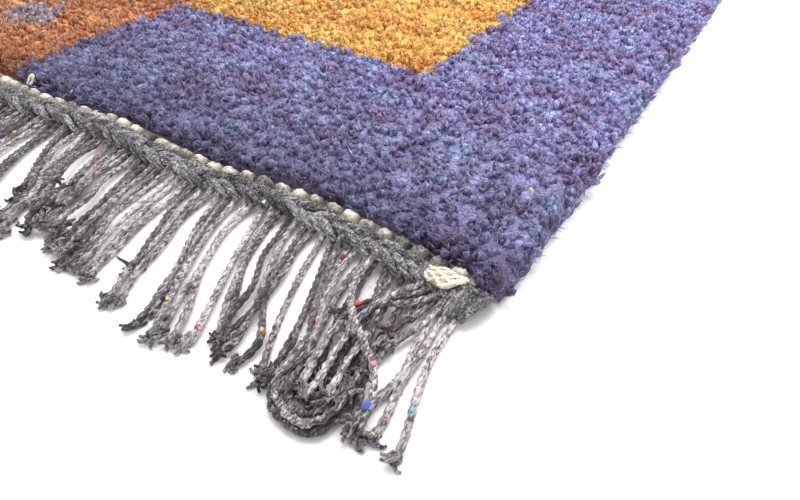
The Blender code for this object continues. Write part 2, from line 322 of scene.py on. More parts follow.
def slabFaces(rows, columns):
    # The faces of a closed slab between two grids of points
    count = rows * columns
    faces = []
    for row in range(rows - 1):
        for column in range(columns - 1):
            corner = row * columns + column
            quad = (corner, corner + 1, corner + columns + 1, corner + columns)
            faces.append(quad[::-1])
            faces.append(tuple(count + index for index in quad))
    rim = gridRim(rows, columns)
    for here, after in zip(rim, rim[1:] + rim[:1]):
        faces.append((here, after, count + after, count + here))
    return faces


def leanTowards(turn, tilt):
    # The lean of hairs that tip by tilt degrees towards the direction turn
    return np.radians(np.column_stack([-np.sin(turn) * tilt, np.cos(turn) * tilt, np.zeros(len(turn))]))


def runTree(name, mesh, tree, inputs):
    # Runs a geometry tree on a mesh and keeps the result as a plain mesh object
    source = addObject(name + "_source", mesh)
    modifier = source.modifiers.new("tree", "NODES")
    modifier.node_group = tree
    for item in tree.interface.items_tree:
        if item.item_type == "SOCKET" and item.in_out == "INPUT" and item.name in inputs:
            modifier[item.identifier] = inputs[item.name]
    graph = bpy.context.evaluated_depsgraph_get()
    made = bpy.data.meshes.new_from_object(source.evaluated_get(graph))
    made.name = name
    bpy.data.objects.remove(source)
    bpy.data.meshes.remove(mesh)
    for spare in ("turn", "lean", "size", "kind", "phase", "thick", "spread"):
        if spare in made.attributes:
            made.attributes.remove(made.attributes[spare])
    made.materials.clear()
    made.materials.append(inputs["Material"])
    made.polygons.foreach_set("material_index", np.zeros(len(made.polygons), np.int32))
    return addObject(name, made)


def makeShapes(name, meshes):
    collection = bpy.data.collections.new(name)
    for index, mesh in enumerate(meshes):
        collection.objects.link(bpy.data.objects.new(f"{name}_{index:02d}", mesh))
    return collection


def dropShapes(collection):
    for shape in list(collection.objects):
        bpy.data.objects.remove(shape)
    bpy.data.collections.remove(collection)


def scatter(name, points, values, shapes, material):
    mesh = bpy.data.meshes.new(name + "_points")
    mesh.vertices.add(len(points))
    mesh.vertices.foreach_set("co", np.asarray(points, np.float32).ravel())
    storeValues(mesh, values)
    return runTree(name, mesh, scatterTree, {"Shapes": shapes, "Material": material})


def addLine(lines, values, line, **numbers):
    # Adds a line with its values, each one number or a number for every point
    lines.append(line)
    for name, number in numbers.items():
        values.setdefault(name, []).append(np.full(len(line), number, float))


def twist(name, lines, values, settings, material):
    # Twisted yarn along lines of points, whose values are one array of numbers for each line
    points = np.concatenate(lines)
    starts = np.cumsum([0] + [len(line) for line in lines])
    edges = [(start + step, start + step + 1)
             for start, line in zip(starts, lines) for step in range(len(line) - 1)]
    mesh = bpy.data.meshes.new(name + "_lines")
    mesh.from_pydata(points.tolist(), edges, [])
    storeValues(mesh, {key: np.concatenate(parts) for key, parts in values.items()})
    return runTree(name, mesh, yarnTree, {
        "Plies": settings["plies"], "Ply Radius": settings["plyRadius"],
        "Ply Offset": settings["plyOffset"], "Turn Length": settings["turnLength"],
        "Ring Spacing": settings["ringSpacing"], "Sides": settings["sides"],
        "Material": material})


# Shared shader groups

def makeStreakGroup():
    # Fine fibres that run up a tuft, from its own around and rise values
    tree, given, result = startTree("fibreStreaks", "ShaderNodeTree", [
        ("Around", "NodeSocketFloat", 0.0),
        ("Rise", "NodeSocketFloat", 0.0),
        ("Seed", "NodeSocketFloat", 0.0),
        ("Fineness", "NodeSocketFloat", 9.0),
    ], [("Streak", "NodeSocketFloat")])
    place = addNode(tree, "ShaderNodeCombineXYZ", None, {
        "X": mathNode(tree, "MULTIPLY", given.outputs["Around"], given.outputs["Fineness"]),
        "Y": mathNode(tree, "MULTIPLY", given.outputs["Rise"], 2.2),
        "Z": mathNode(tree, "MULTIPLY", given.outputs["Seed"], 57.0)})
    tree.links.new(noiseNode(tree, place.outputs[0], 1.0, roughness=0.7), result.inputs["Streak"])
    return tree


def makeHeatherGroup():
    # Flecked yarn: a fine grain of light and dark fibres over slow changes of shade
    tree, given, result = startTree("heatheredYarn", "ShaderNodeTree", [
        ("Dark", "NodeSocketColor", None),
        ("Middle", "NodeSocketColor", None),
        ("Light", "NodeSocketColor", None),
        ("Grain", "NodeSocketFloat", 1500.0),
        ("Stretch", "NodeSocketVector", None),
        ("Drift", "NodeSocketFloat", 60.0),
        ("Tone", "NodeSocketFloat", 0.5),
    ], [("Color", "NodeSocketColor"), ("Height", "NodeSocketFloat")])
    place = objectPlace(tree)
    drawn = vectorNode(tree, "MULTIPLY", place, given.outputs["Stretch"])
    grain = noiseNode(tree, drawn, given.outputs["Grain"], 1.5, 0.65, 0.5)
    drift = noiseNode(tree, place, given.outputs["Drift"])
    slow = mathNode(tree, "MULTIPLY_ADD", drift, 0.35, -0.175)
    toned = mathNode(tree, "MULTIPLY_ADD", given.outputs["Tone"], 0.24, -0.12)
    shade = mathNode(tree, "ADD", mathNode(tree, "ADD", grain, slow), toned)
    low, high = rangeNode(tree, shade, 0.36, 0.52), rangeNode(tree, shade, 0.52, 0.70)
    darker = mixNode(tree, low, given.outputs["Dark"], given.outputs["Middle"])
    tree.links.new(mixNode(tree, high, darker, given.outputs["Light"]), result.inputs["Color"])
    tree.links.new(grain, result.inputs["Height"])
    return tree


def makeFeltGroup():
    # Felted wool: cells of a few millimetres, each with fibres that run its own way
    tree, given, result = startTree("feltedFibres", "ShaderNodeTree", [
        ("Cell Scale", "NodeSocketFloat", 190.0),
        ("Fineness", "NodeSocketFloat", 1300.0),
        ("Stretch", "NodeSocketFloat", 0.14),
    ], [("Fibre", "NodeSocketFloat"), ("Gap", "NodeSocketFloat")])
    place = objectPlace(tree)
    cells = addNode(tree, "ShaderNodeTexVoronoi", None, {
        "Vector": place, "Scale": given.outputs["Cell Scale"]})
    edges = addNode(tree, "ShaderNodeTexVoronoi", {"feature": "DISTANCE_TO_EDGE"}, {
        "Vector": place, "Scale": given.outputs["Cell Scale"]})
    own = vectorNode(tree, "SUBTRACT", place, cells.outputs["Position"])
    angles = vectorNode(tree, "SCALE", cells.outputs["Color"], scale=2 * math.pi)
    turned = addNode(tree, "ShaderNodeVectorRotate", {"rotation_type": "EULER_XYZ"}, {
        "Vector": own, "Rotation": angles})
    along = addNode(tree, "ShaderNodeCombineXYZ", None, {
        "X": given.outputs["Fineness"], "Y": given.outputs["Fineness"],
        "Z": mathNode(tree, "MULTIPLY", given.outputs["Fineness"], given.outputs["Stretch"])})
    scaled = vectorNode(tree, "MULTIPLY", turned.outputs[0], along.outputs[0])
    apart = vectorNode(tree, "SCALE", cells.outputs["Color"], scale=60.0)
    shifted = vectorNode(tree, "ADD", scaled, apart)
    tree.links.new(noiseNode(tree, shifted, 1.0, 1.5, 0.6, 0.6), result.inputs["Fibre"])
    tree.links.new(edges.outputs["Distance"], result.inputs["Gap"])
    return tree


streakGroup = makeStreakGroup()
feltGroup = makeFeltGroup()
heatherGroup = makeHeatherGroup()


def startMaterial(name, roughness, sheen):
    material = bpy.data.materials.new(name)
    material.use_nodes = True
    tree = material.node_tree
    shader = tree.nodes["Principled BSDF"]
    shader.inputs["Roughness"].default_value = roughness
    shader.inputs["Specular IOR Level"].default_value = 0.25
    shader.inputs["Sheen Weight"].default_value = sheen
    shader.inputs["Sheen Roughness"].default_value = 0.6
    return material, tree, shader


def addGroup(tree, group, inputs=None):
    return addNode(tree, "ShaderNodeGroup", {"node_tree": group}, inputs)


def addBump(tree, shader, height, strength, distance):
    bump = addNode(tree, "ShaderNodeBump", None, {
        "Height": height, "Strength": strength, "Distance": distance})
    tree.links.new(bump.outputs[0], shader.inputs["Normal"])


def meshValue(tree, name):
    return addNode(tree, "ShaderNodeAttribute", {"attribute_name": name}).outputs["Fac"]


def meshColour(tree, name):
    return addNode(tree, "ShaderNodeAttribute", {"attribute_name": name}).outputs["Color"]


# Pile wool: how its shades, fibres and shine are mixed
wool = {
    "roughness": 0.92,
    "sheen": 0.5,
    "tint": 0.5,             # how much of the sheen's colour is the wool's own
    "patch": (0.6, 1.0, 0.3),
    "change": (2.3, -0.97),          # how strongly the shade changes from patch to patch
    "own": 0.6,              # and from knot to knot
    "rootShadeReach": 0.62,       # painted shade: a lock is darker at its root, up to here
    "streaks": 0.8,
    "shine": (0.72, 1.08, 0.64, 2.2),        # the fibres' range, and their brightness there
    "gapShadeRange": (0.0, 0.16, 0.62),        # painted shade in the gaps between cells of fibres: their range, and the brightness there
    "gapDepth": 1.2,
    "bump": 0.0020,
}


def makeWool(name, shades, root, patch):
    # Pile wool: patches of slowly changing hue, fibre streaks, and painted shade towards the root
    material, tree, shader = startMaterial(name, wool["roughness"], wool["sheen"])
    shader.inputs["Sheen Tint"].default_value = [
        1 - wool["tint"] + wool["tint"] * channel for channel in shades[-1]]
    tone = meshValue(tree, "tone")
    rise = meshValue(tree, "rise")
    stretched = addNode(tree, "ShaderNodeMapping", None, {
        "Vector": objectPlace(tree), "Scale": [patch * share for share in wool["patch"]]})
    abrash = noiseNode(tree, stretched.outputs[0], 1.0, 3.0, 0.62)
    felt = addGroup(tree, feltGroup)
    streak = addGroup(tree, streakGroup, {
        "Around": meshValue(tree, "around"), "Rise": rise, "Seed": tone})
    slow = mathNode(tree, "MULTIPLY_ADD", abrash, *wool["change"])
    own = mathNode(tree, "MULTIPLY", tone, wool["own"])
    ramp = addNode(tree, "ShaderNodeValToRGB", None, {"Fac": mathNode(tree, "ADD", slow, own)})
    stops = ramp.color_ramp.elements
    for index, colour in enumerate(shades):
        position = index / (len(shades) - 1)
        stop = stops[index] if index < 2 else stops.new(position)
        stop.position = position
        stop.color = colour
    # painted shade: each lock fades to its root colour deep in the pile
    mixed = mixNode(tree, rangeNode(tree, rise, 0.0, wool["rootShadeReach"]), root, ramp.outputs[0])
    fine = mathNode(tree, "MULTIPLY_ADD", streak.outputs[0], wool["streaks"], felt.outputs["Fibre"])
    shine = rangeNode(tree, fine, *wool["shine"])
    # painted shade: the wool is darker in the gaps between cells of fibres, which also sink in the bump
    gapShade = rangeNode(tree, felt.outputs["Gap"], *wool["gapShadeRange"])
    brightness = mathNode(tree, "MULTIPLY", shine, meshValue(tree, "light"))
    brightness = mathNode(tree, "MULTIPLY", brightness, gapShade)
    lit = addNode(tree, "ShaderNodeHueSaturation", None, {"Value": brightness, "Color": mixed})
    tree.links.new(lit.outputs[0], shader.inputs["Base Color"])
    height = mathNode(tree, "MULTIPLY_ADD", gapShade, wool["gapDepth"], fine)
    addBump(tree, shader, height, 1.0, wool["bump"])
    return material


def makeHeathered(name, shades, aged, grain, stretch, strength):
    # Heathered yarn, which turns to its darker colour where the mesh says so
    material, tree, shader = startMaterial(name, 0.9, 0.2)
    dark, middle, light = shades
    yarn = addGroup(tree, heatherGroup, {
        "Dark": dark, "Middle": middle, "Light": light, "Grain": grain, "Stretch": stretch,
        "Tone": meshValue(tree, "tone")})
    cloud = noiseNode(tree, objectPlace(tree), 110.0)
    share = mathNode(tree, "MULTIPLY", meshValue(tree, "aged"), cloud)
    dyed = mixNode(tree, share, yarn.outputs["Color"], aged, "MULTIPLY")
    tree.links.new(dyed, shader.inputs["Base Color"])
    addBump(tree, shader, yarn.outputs["Height"], strength, 0.0005)
    return material


# each wool's last colour is the painted shade at its locks' roots
materials = {
    "pile_purple": makeWool("purple wool", [
        srgb(106, 78, 120), srgb(122, 102, 150), srgb(132, 126, 176), srgb(140, 142, 190),
        srgb(142, 160, 198)], srgb(84, 70, 104), 48.0),
    "pile_orange": makeWool("orange wool", [
        srgb(234, 154, 64), srgb(255, 186, 86), srgb(255, 200, 100), srgb(255, 216, 122)],
        srgb(196, 120, 60), 26.0),
    "pile_rust": makeWool("rust wool", [
        srgb(182, 106, 58), srgb(218, 136, 78), srgb(232, 150, 90), srgb(240, 162, 112)],
        srgb(144, 90, 58), 26.0),
    "pile_lilac": makeWool("lilac wool", [
        srgb(160, 138, 146), srgb(192, 172, 182), srgb(212, 196, 208)], srgb(112, 96, 104), 30.0),
    "fringe_yarn": makeHeathered(
        "fringe yarn", [srgb(60, 51, 54), srgb(132, 123, 126), srgb(224, 216, 219)],
        srgb(85, 74, 83), 1040.0, (1.0, 0.24, 1.0), 0.66),
    "braid_yarn": makeHeathered(
        "braid yarn", [srgb(50, 48, 49), srgb(105, 102, 104), srgb(184, 183, 185)],
        srgb(90, 90, 90), 1300.0, (0.7, 0.5, 1.0), 0.9),
    "darn_thread": makeHeathered(
        "cream thread", [srgb(206, 196, 176), srgb(240, 232, 214), srgb(253, 249, 240)],
        srgb(170, 160, 146), 1200.0, (1.0, 1.0, 1.0), 0.5),
}
print("materials ready")


# Camera and stage
view = {
    "place": (0.3640, -0.6693, 0.2063),
    "yaw": -30.45,
    "pitch": 39.63,
    "roll": 1.75,
    "lens": 29.75,
    "sensor": 36.0,
}
studio = {
    "floorSize": 12.0,
    "floorColour": (0.93, 0.93, 0.93, 1.0),
    "skyStrength": 1.02,
    "keyStrength": 1.5,
    "keyAngle": 36.0,              # degrees across, so its shadows are soft
    "keyAim": (0.20, -0.24, -0.95),
    "boxPlace": (0.30, 0.42, 0.62),
    "boxAim": (-0.28, -0.16, -0.62),
    "boxSize": 0.9,
    "boxPower": 8.0,
}


def makeCamera():
    yaw, pitch, roll = (math.radians(view[name]) for name in ("yaw", "pitch", "roll"))
    ahead = Vector((math.sin(yaw) * math.cos(pitch), math.cos(yaw) * math.cos(pitch), -math.sin(pitch)))
    level = Vector((math.cos(yaw), -math.sin(yaw), 0.0))
    above = level.cross(ahead)
    right = math.cos(roll) * level + math.sin(roll) * above
    above = -math.sin(roll) * level + math.cos(roll) * above
    data = bpy.data.cameras.new("camera")
    data.lens = view["lens"]
    data.sensor_width = view["sensor"]
    data.clip_start = 0.01
    camera = addObject("camera", data)
    turned = Matrix((right, above, -ahead)).transposed().to_4x4()
    camera.matrix_world = Matrix.Translation(view["place"]) @ turned
    bpy.context.scene.camera = camera


def makeStudio():
    half = studio["floorSize"] / 2
    mesh = bpy.data.meshes.new("floor")
    mesh.from_pydata([(-half, -half, 0), (half, -half, 0), (half, half, 0), (-half, half, 0)],
                     [], [(0, 1, 2, 3)])
    floor = addObject("floor", mesh)
    material, tree, shader = startMaterial("pale floor", 0.8, 0.0)
    shader.inputs["Base Color"].default_value = studio["floorColour"]
    mesh.materials.append(material)
    world = bpy.data.worlds.new("soft white room")
    world.use_nodes = True
    background = world.node_tree.nodes["Background"]
    background.inputs["Color"].default_value = (1, 1, 1, 1)
    background.inputs["Strength"].default_value = studio["skyStrength"]
    bpy.context.scene.world = world
    light = bpy.data.lights.new("key", "SUN")
    light.energy = studio["keyStrength"]
    light.angle = math.radians(studio["keyAngle"])
    key = addObject("key", light)
    key.rotation_euler = Vector(studio["keyAim"]).to_track_quat("-Z", "Y").to_euler()
    light = bpy.data.lights.new("soft box", "AREA")
    light.size = studio["boxSize"]
    light.energy = studio["boxPower"]
    box = addObject("soft box", light)
    box.location = studio["boxPlace"]
    box.rotation_euler = Vector(studio["boxAim"]).to_track_quat("-Z", "Y").to_euler()
    bpy.context.scene.view_settings.view_transform = "Standard"


makeCamera()
makeStudio()


# Pile: knots of cut wool on the rows of the foundation, each a stout lock with thin wisps about it
pile = {
    "pitch": (0.0055, 0.0060),
    "inset": (0.0038, 0.0058),   # first knots from the cloth's sides and ends
    "root": (0.0066, 0.0034),    # where a lock leaves the mat, and at the rim
    "long": (0.0096, 0.0100),    # a lock's length there, and at the rim
    "jitter": 0.0013,
    "nap": 24.0,             # degrees that the knots lean towards the front end
    "stir": 21.0,            # how unevenly the knots lean
    "edgeLean": 9.0,         # more degrees outward at the sides
    "ragged": ((0.017, 0.1), (0.029, 0.7), (0.011, 0.4)),    # the sides' lumps: lengths and starts
    "raggedLean": 3.6,
    "edgeReach": 0.010,
    "paintedShade": 0.17,            # painted shade: the wool is a little darker away from the right side and at the front
    "paintedShadeReach": 0.20,
    "lift": 0.42,            # painted light: the purple wool is lighter away from the ends
    "paintedLightReach": (0.040, 0.080),
    "frontPlumShade": 0.030,      # the wool is more plum this near to the front end, and has painted shade
    "cornerReach": 0.024,    # the pile comes further forward this near to a corner
    "cornerStep": 0.0070,
    "kinds": 12,             # shapes of each sort
    "steepest": 62,          # degrees that no lock leans beyond
}
# Sorts of lock: how many in a knot, distance from its middle, radius, length as a share, how
# unevenly they lean, how far they splay, and the height and radius of their rings
lockSorts = (
    {"many": 1, "spread": 0.0004, "radius": 0.0031, "long": 0.99, "stir": 6.0, "splay": 0.0,
     "bend": 0.6, "rings": ((0.42, 0.90), (0.86, 0.84))},
    {"many": 3, "spread": 0.0016, "radius": 0.0015, "long": 1.03, "stir": 9.0, "splay": 5.0,
     "bend": 1.6, "rings": ((0.58, 1.0),)},
)


def makeSpike(name, rings, sides, bend, chance):
    # A closed, bent spindle of wool between two points, one unit high
    points, rise, around = [(0.0, 0.0, 0.0)], [0.0], [0.5]
    twisted = chance.uniform(0, 6)
    for height, radius in rings:
        shift = (bend[0] * height * height, bend[1] * height * height)
        twisted += chance.uniform(-0.5, 0.5)
        for side in range(sides):
            angle = 2 * math.pi * side / sides + twisted + chance.uniform(-0.2, 0.2)
            reach = radius * chance.uniform(0.78, 1.22)
            points.append((reach * math.cos(angle) + shift[0], reach * math.sin(angle) + shift[1],
                           height + chance.uniform(-0.05, 0.05)))
            rise.append(height)
            around.append(abs(2 * side / sides - 1))
    points.append((bend[0] + chance.uniform(-0.3, 0.3), bend[1] + chance.uniform(-0.3, 0.3), 1.0))
    rise.append(1.0)
    around.append(0.5)
    faces = [(0, 1 + (side + 1) % sides, 1 + side) for side in range(sides)]
    for ring in range(len(rings) - 1):
        low, high = 1 + ring * sides, 1 + (ring + 1) * sides
        for side in range(sides):
            after = (side + 1) % sides
            faces.append((low + side, low + after, high + after, high + side))
    top = 1 + (len(rings) - 1) * sides
    faces += [(top + side, top + (side + 1) % sides, len(points) - 1) for side in range(sides)]
    mesh = bpy.data.meshes.new(name)
    mesh.from_pydata(points, [], faces)
    storeValues(mesh, {"rise": np.array(rise), "around": np.array(around)})
    mesh.shade_smooth()
    return mesh


def blockNames(points, chance):
    # The colour block of each place on the cloth, with the ragged edges of whole knots
    x = points[:, 0] + chance.normal(0, blocks["ragged"], len(points))
    y = np.abs(points[:, 1] + chance.normal(0, blocks["ragged"], len(points)))
    names = np.full(len(points), "pile_purple", dtype=object)
    names[(x < blocks["orangeSide"]) & (y < blocks["orangeEnd"])] = "pile_orange"
    names[x < blocks["rustSide"]] = "pile_rust"
    middle, size = blocks["lozenge"], blocks["lozengeSize"]
    inside = np.abs(x - middle[0]) / size[0] + np.abs(y - middle[1]) / size[1]
    names[inside < blocks["lozengeReach"]] = "pile_lilac"
    return names


def makeKnots(chance):
    # The knots' places on the flat cloth, row by row, a little uneven
    halves = (rug["width"] / 2 - pile["inset"][0], rug["length"] / 2 - pile["inset"][1])
    columns, rows = (np.linspace(-half, half, round(2 * half / pitch) + 1)
                     for half, pitch in zip(halves, pile["pitch"]))
    x, y = np.meshgrid(columns, rows)
    x = x + pile["pitch"][0] * 0.25 * (np.arange(len(rows)) % 2 - 0.5)[:, None]
    flat = np.stack([x.ravel(), y.ravel()], axis=1)
    corner = smoothStep(1 - (rug["width"] / 2 - np.abs(flat[:, 0])) / pile["cornerReach"])
    ending = smoothStep(1 - (rug["length"] / 2 - np.abs(flat[:, 1])) / pile["cornerReach"])
    flat[:, 1] += np.sign(flat[:, 1]) * pile["cornerStep"] * corner * ending
    return flat + chance.uniform(-pile["jitter"], pile["jitter"], flat.shape)


def rimShares(flat):
    # How near a place is to the cloth's sides and to its ends, from 0 to 1
    away = (np.array([rug["width"], rug["length"]]) / 2 - np.abs(flat)) / pile["edgeReach"]
    shares = smoothStep(1 - away)
    return shares[:, 0], shares[:, 1]


def leanAt(flat, chance):
    # Degrees of lean about X and Y: with the nap, and outward at the sides and corners
    count = len(flat)
    side, ending = rimShares(flat)
    corner = smoothStep(1 - (rug["width"] / 2 - np.abs(flat[:, 0])) / pile["cornerReach"])
    calm = 1 - 0.62 * np.maximum(side, ending)
    forward = pile["nap"] * (1 - side) * (1 - ending) + chance.normal(0, pile["stir"], count) * calm
    forward -= np.sign(flat[:, 1]) * ending * corner * pile["edgeLean"]
    ragged = sum(np.sin(2 * np.pi * (flat[:, 1] / long + start)) for long, start in pile["ragged"])
    sideways = np.sign(flat[:, 0]) * side * (pile["edgeLean"] + pile["raggedLean"] * ragged)
    sideways += chance.normal(0, pile["stir"], count) * calm
    return np.column_stack([forward, sideways, np.zeros(count)])


def makePile():
    chance = np.random.default_rng(11)
    shapes = makeShapes("lock", [
        makeSpike("lock", sort["rings"], 3, chance.uniform(-sort["bend"], sort["bend"], 2), chance)
        for sort in lockSorts for kind in range(pile["kinds"])])
    knots = makeKnots(chance)
    knotNames = blockNames(knots, chance)
    knotLean = leanAt(knots, chance)
    knotTone = chance.normal(0.47, 0.16, len(knots))
    knotLight = chance.normal(1.0, 0.07, len(knots))
    # painted shade: knots are darker away from the right side and towards the front end
    knotLight *= 1 - pile["paintedShade"] * smoothStep((blocks["orangeSide"] - knots[:, 0]) / pile["paintedShadeReach"])
    knotLight *= 1 - pile["paintedShade"] * smoothStep(1 - (knots[:, 1] + rug["length"] / 2) / pile["paintedShadeReach"])
    # painted light: the purple wool is made lighter away from the ends
    fromEnd = rug["length"] / 2 - np.abs(knots[:, 1])
    lift = pile["lift"] * smoothStep((fromEnd - pile["paintedLightReach"][0]) / pile["paintedLightReach"][1])
    knotLight *= 1 + np.where(knotNames == "pile_purple", lift, 0)
    knotTurn = chance.uniform(0, 2 * np.pi, len(knots))
    parts = []
    for index, sort in enumerate(lockSorts):
        for lock in range(sort["many"]):
            count = len(knots)
            around = knotTurn + 2 * np.pi * lock / sort["many"] + chance.normal(0, 0.4, count)
            away = np.column_stack([np.cos(around), np.sin(around)])
            lean = knotLean + chance.normal(0, sort["stir"], knotLean.shape)
            lean[:, 0] -= sort["splay"] * away[:, 1]
            lean[:, 1] += sort["splay"] * away[:, 0]
            lean[:, :2] = np.clip(lean[:, :2], -pile["steepest"], pile["steepest"])
            lean[:, 2] = 0.0
            parts.append({
                "flat": knots + away * sort["spread"],
                "lean": np.radians(lean),
                "width": sort["radius"] * chance.uniform(0.75, 1.25, count),
                "long": sort["long"] * chance.uniform(0.82, 1.12, count),
                "kind": chance.integers(0, pile["kinds"], count) + index * pile["kinds"],
                "tone": knotTone + chance.normal(0, 0.08, count),
                "light": knotLight + chance.normal(0, 0.06, count),
            })
    joined = {key: np.concatenate([part[key] for part in parts]) for key in parts[0]}
    flat = joined["flat"]
    names = np.tile(knotNames, len(parts))
    count = len(flat)
    # near the front end the knots turn to the plum shades (their colour) and are darker (painted shade)
    plumShade = smoothStep(1 - (flat[:, 1] + rug["length"] / 2) / pile["frontPlumShade"])
    rim = np.maximum(*rimShares(flat))
    width = joined["width"] * (1 - 0.28 * rim)
    root, tall = (first + (last - first) * rim for first, last in (pile["root"], pile["long"]))
    values = {
        "lean": joined["lean"],
        "turn": chance.uniform(0, 2 * np.pi, count),
        "size": np.column_stack([width, width, tall * joined["long"]]),
        "kind": joined["kind"],
        "tone": np.clip(joined["tone"] - 0.4 * plumShade, 0, 1),
        "light": joined["light"] * (1 - 0.2 * plumShade),
    }
    points = bendToEdges(np.column_stack([flat, root + chance.uniform(-0.0006, 0.0006, count)]))
    side, front = flat[:, 0], flat[:, 1] < 0
    groups = {
        "pile_purple_side_front": (names == "pile_purple") & (side > blocks["orangeSide"]) & front,
        "pile_purple_side_back": (names == "pile_purple") & (side > blocks["orangeSide"]) & ~front,
        "pile_purple_ends": (names == "pile_purple") & (side <= blocks["orangeSide"]),
        "pile_orange": names == "pile_orange",
        "pile_rust_front": (names == "pile_rust") & front,
        "pile_rust_back": (names == "pile_rust") & ~front,
        "pile_lilac": names == "pile_lilac",
    }
    made = []
    for name, chosen in groups.items():
        slot = "_".join(name.split("_")[:2])
        piece = scatter(name, points[chosen], {key: value[chosen] for key, value in values.items()},
                        shapes, materials[slot])
        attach(piece, "root")
        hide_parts("pile")
        made.append(piece)
    dropShapes(shapes)
    print("pile has", count, "locks")
    return made


# Mat: the felted depth of the pile between the locks, a soft slab in each colour
mat = {
    "cell": 0.0070,
    "inset": (0.0030, 0.0050),
    "floor": 0.0026,
    "top": 0.0110,
    "edge": 0.002,           # its least thickness, at the rim
    "rough": 0.0014,
    "round": 0.009,
}


def makeMat():
    chance = np.random.default_rng(13)
    halves = [rug["width"] / 2 - mat["inset"][0], rug["length"] / 2 - mat["inset"][1]]
    counts = [round(2 * half / mat["cell"]) for half in halves]
    across, endwise = (np.linspace(-half, half, count + 1) for half, count in zip(halves, counts))
    x, y = np.meshgrid(across, endwise)
    flat = np.column_stack([x.ravel(), y.ravel()])
    away = np.min(np.array([rug["width"], rug["length"]]) / 2 - np.abs(flat), axis=1)
    soft = smoothStep((away - mat["edge"]) / mat["round"])
    top = mat["floor"] + mat["edge"] + (mat["top"] - mat["floor"] - mat["edge"]) * soft
    top = top + chance.uniform(-mat["rough"], mat["rough"], len(flat))
    jitter = chance.uniform(-mat["rough"], mat["rough"], flat.shape)
    base = bendToEdges(np.column_stack([flat, np.full(len(flat), mat["floor"])]))
    cover = bendToEdges(np.column_stack([flat + jitter * soft[:, None], top]))
    centres = np.stack(np.meshgrid((across[1:] + across[:-1]) / 2, (endwise[1:] + endwise[:-1]) / 2),
                       axis=-1)
    names = blockNames(centres.reshape(-1, 2), chance).reshape(centres.shape[:2])
    # the mat too is more plum near the front end, with painted shade
    plumShade = smoothStep(1 - (flat[:, 1] + rug["length"] / 2) / pile["frontPlumShade"])
    made = []
    for slot in ("pile_purple", "pile_orange", "pile_rust", "pile_lilac"):
        mesh, used = closedSlab(base, cover, names == slot)
        mesh.name = slot.replace("pile", "mat")
        count = len(used)
        storeValues(mesh, {
            "rise": np.tile(np.full(count, 0.62), 2),
            "around": chance.uniform(0, 2, 2 * count),
            "tone": np.tile(0.5 - 0.4 * plumShade[used], 2),
            "light": np.tile(1.0 - 0.2 * plumShade[used], 2) * chance.uniform(0.9, 1.1, 2 * count)})
        mesh.shade_smooth()
        mesh.materials.append(materials[slot])
        piece = addObject(mesh.name, mesh)
        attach(piece, "root")
        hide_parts("pile")
        made.append(piece)
    return made


def closedSlab(base, cover, cells):
    # A closed slab over the chosen cells of a grid, and the grid points that it uses. Cells that
    # meet at a corner only get their own points there
    rows, columns = cells.shape
    wide = columns + 1
    lookup, used, faces = {}, [], []

    def pointAt(row, column, cell):
        # one point for each run of cells that touch side by side round this corner
        ring = [(row - 1, column - 1), (row - 1, column), (row, column), (row, column - 1)]
        there = [0 <= r < rows and 0 <= c < columns and bool(cells[r, c]) for r, c in ring]
        split = there in ([True, False, True, False], [False, True, False, True])
        key = (row, column, cell if split else None)
        if key not in lookup:
            lookup[key] = len(used)
            used.append(row * wide + column)
        return lookup[key]

    edges = {}
    quads = []
    for row in range(rows):
        for column in range(columns):
            if cells[row, column]:
                cell = (row, column)
                quads.append((pointAt(row, column, cell), pointAt(row, column + 1, cell),
                              pointAt(row + 1, column + 1, cell), pointAt(row + 1, column, cell)))
    for quad in quads:
        for here, after in zip(quad, quad[1:] + quad[:1]):
            edges[(here, after)] = True
    count = len(used)
    for quad in quads:
        faces.append(quad[::-1])
        faces.append(tuple(count + index for index in quad))
    for here, after in edges:
        if (after, here) not in edges:
            faces.append((here, after, count + after, count + here))
    mesh = bpy.data.meshes.new("slab")
    mesh.from_pydata(np.concatenate([base[used], cover[used]]).tolist(), [], faces)
    return mesh, np.array(used)


# Stray hairs that stand out of the pile
hairs = {
    "inside": 8000,
    "front": 2200,
    "rim": 4200,
    "length": (0.005, 0.010),
    "radius": 0.00017,
    "tilt": (30, 85),
    "floor": 0.0105,
    "top": 0.0150,
    "kinds": 8,
    "inset": 0.002,
    "frontReach": 0.045,     # where the front hairs are, from the end
    "sideShare": 0.62,       # how many of the rim's hairs are at the sides
    "rimReach": 0.003,
    "rimBand": 0.004,        # hairs this near to the edge point outward
    "rimTilt": (15, 80),
    "rimFloor": 0.006,
    "rimLong": 0.8,
}


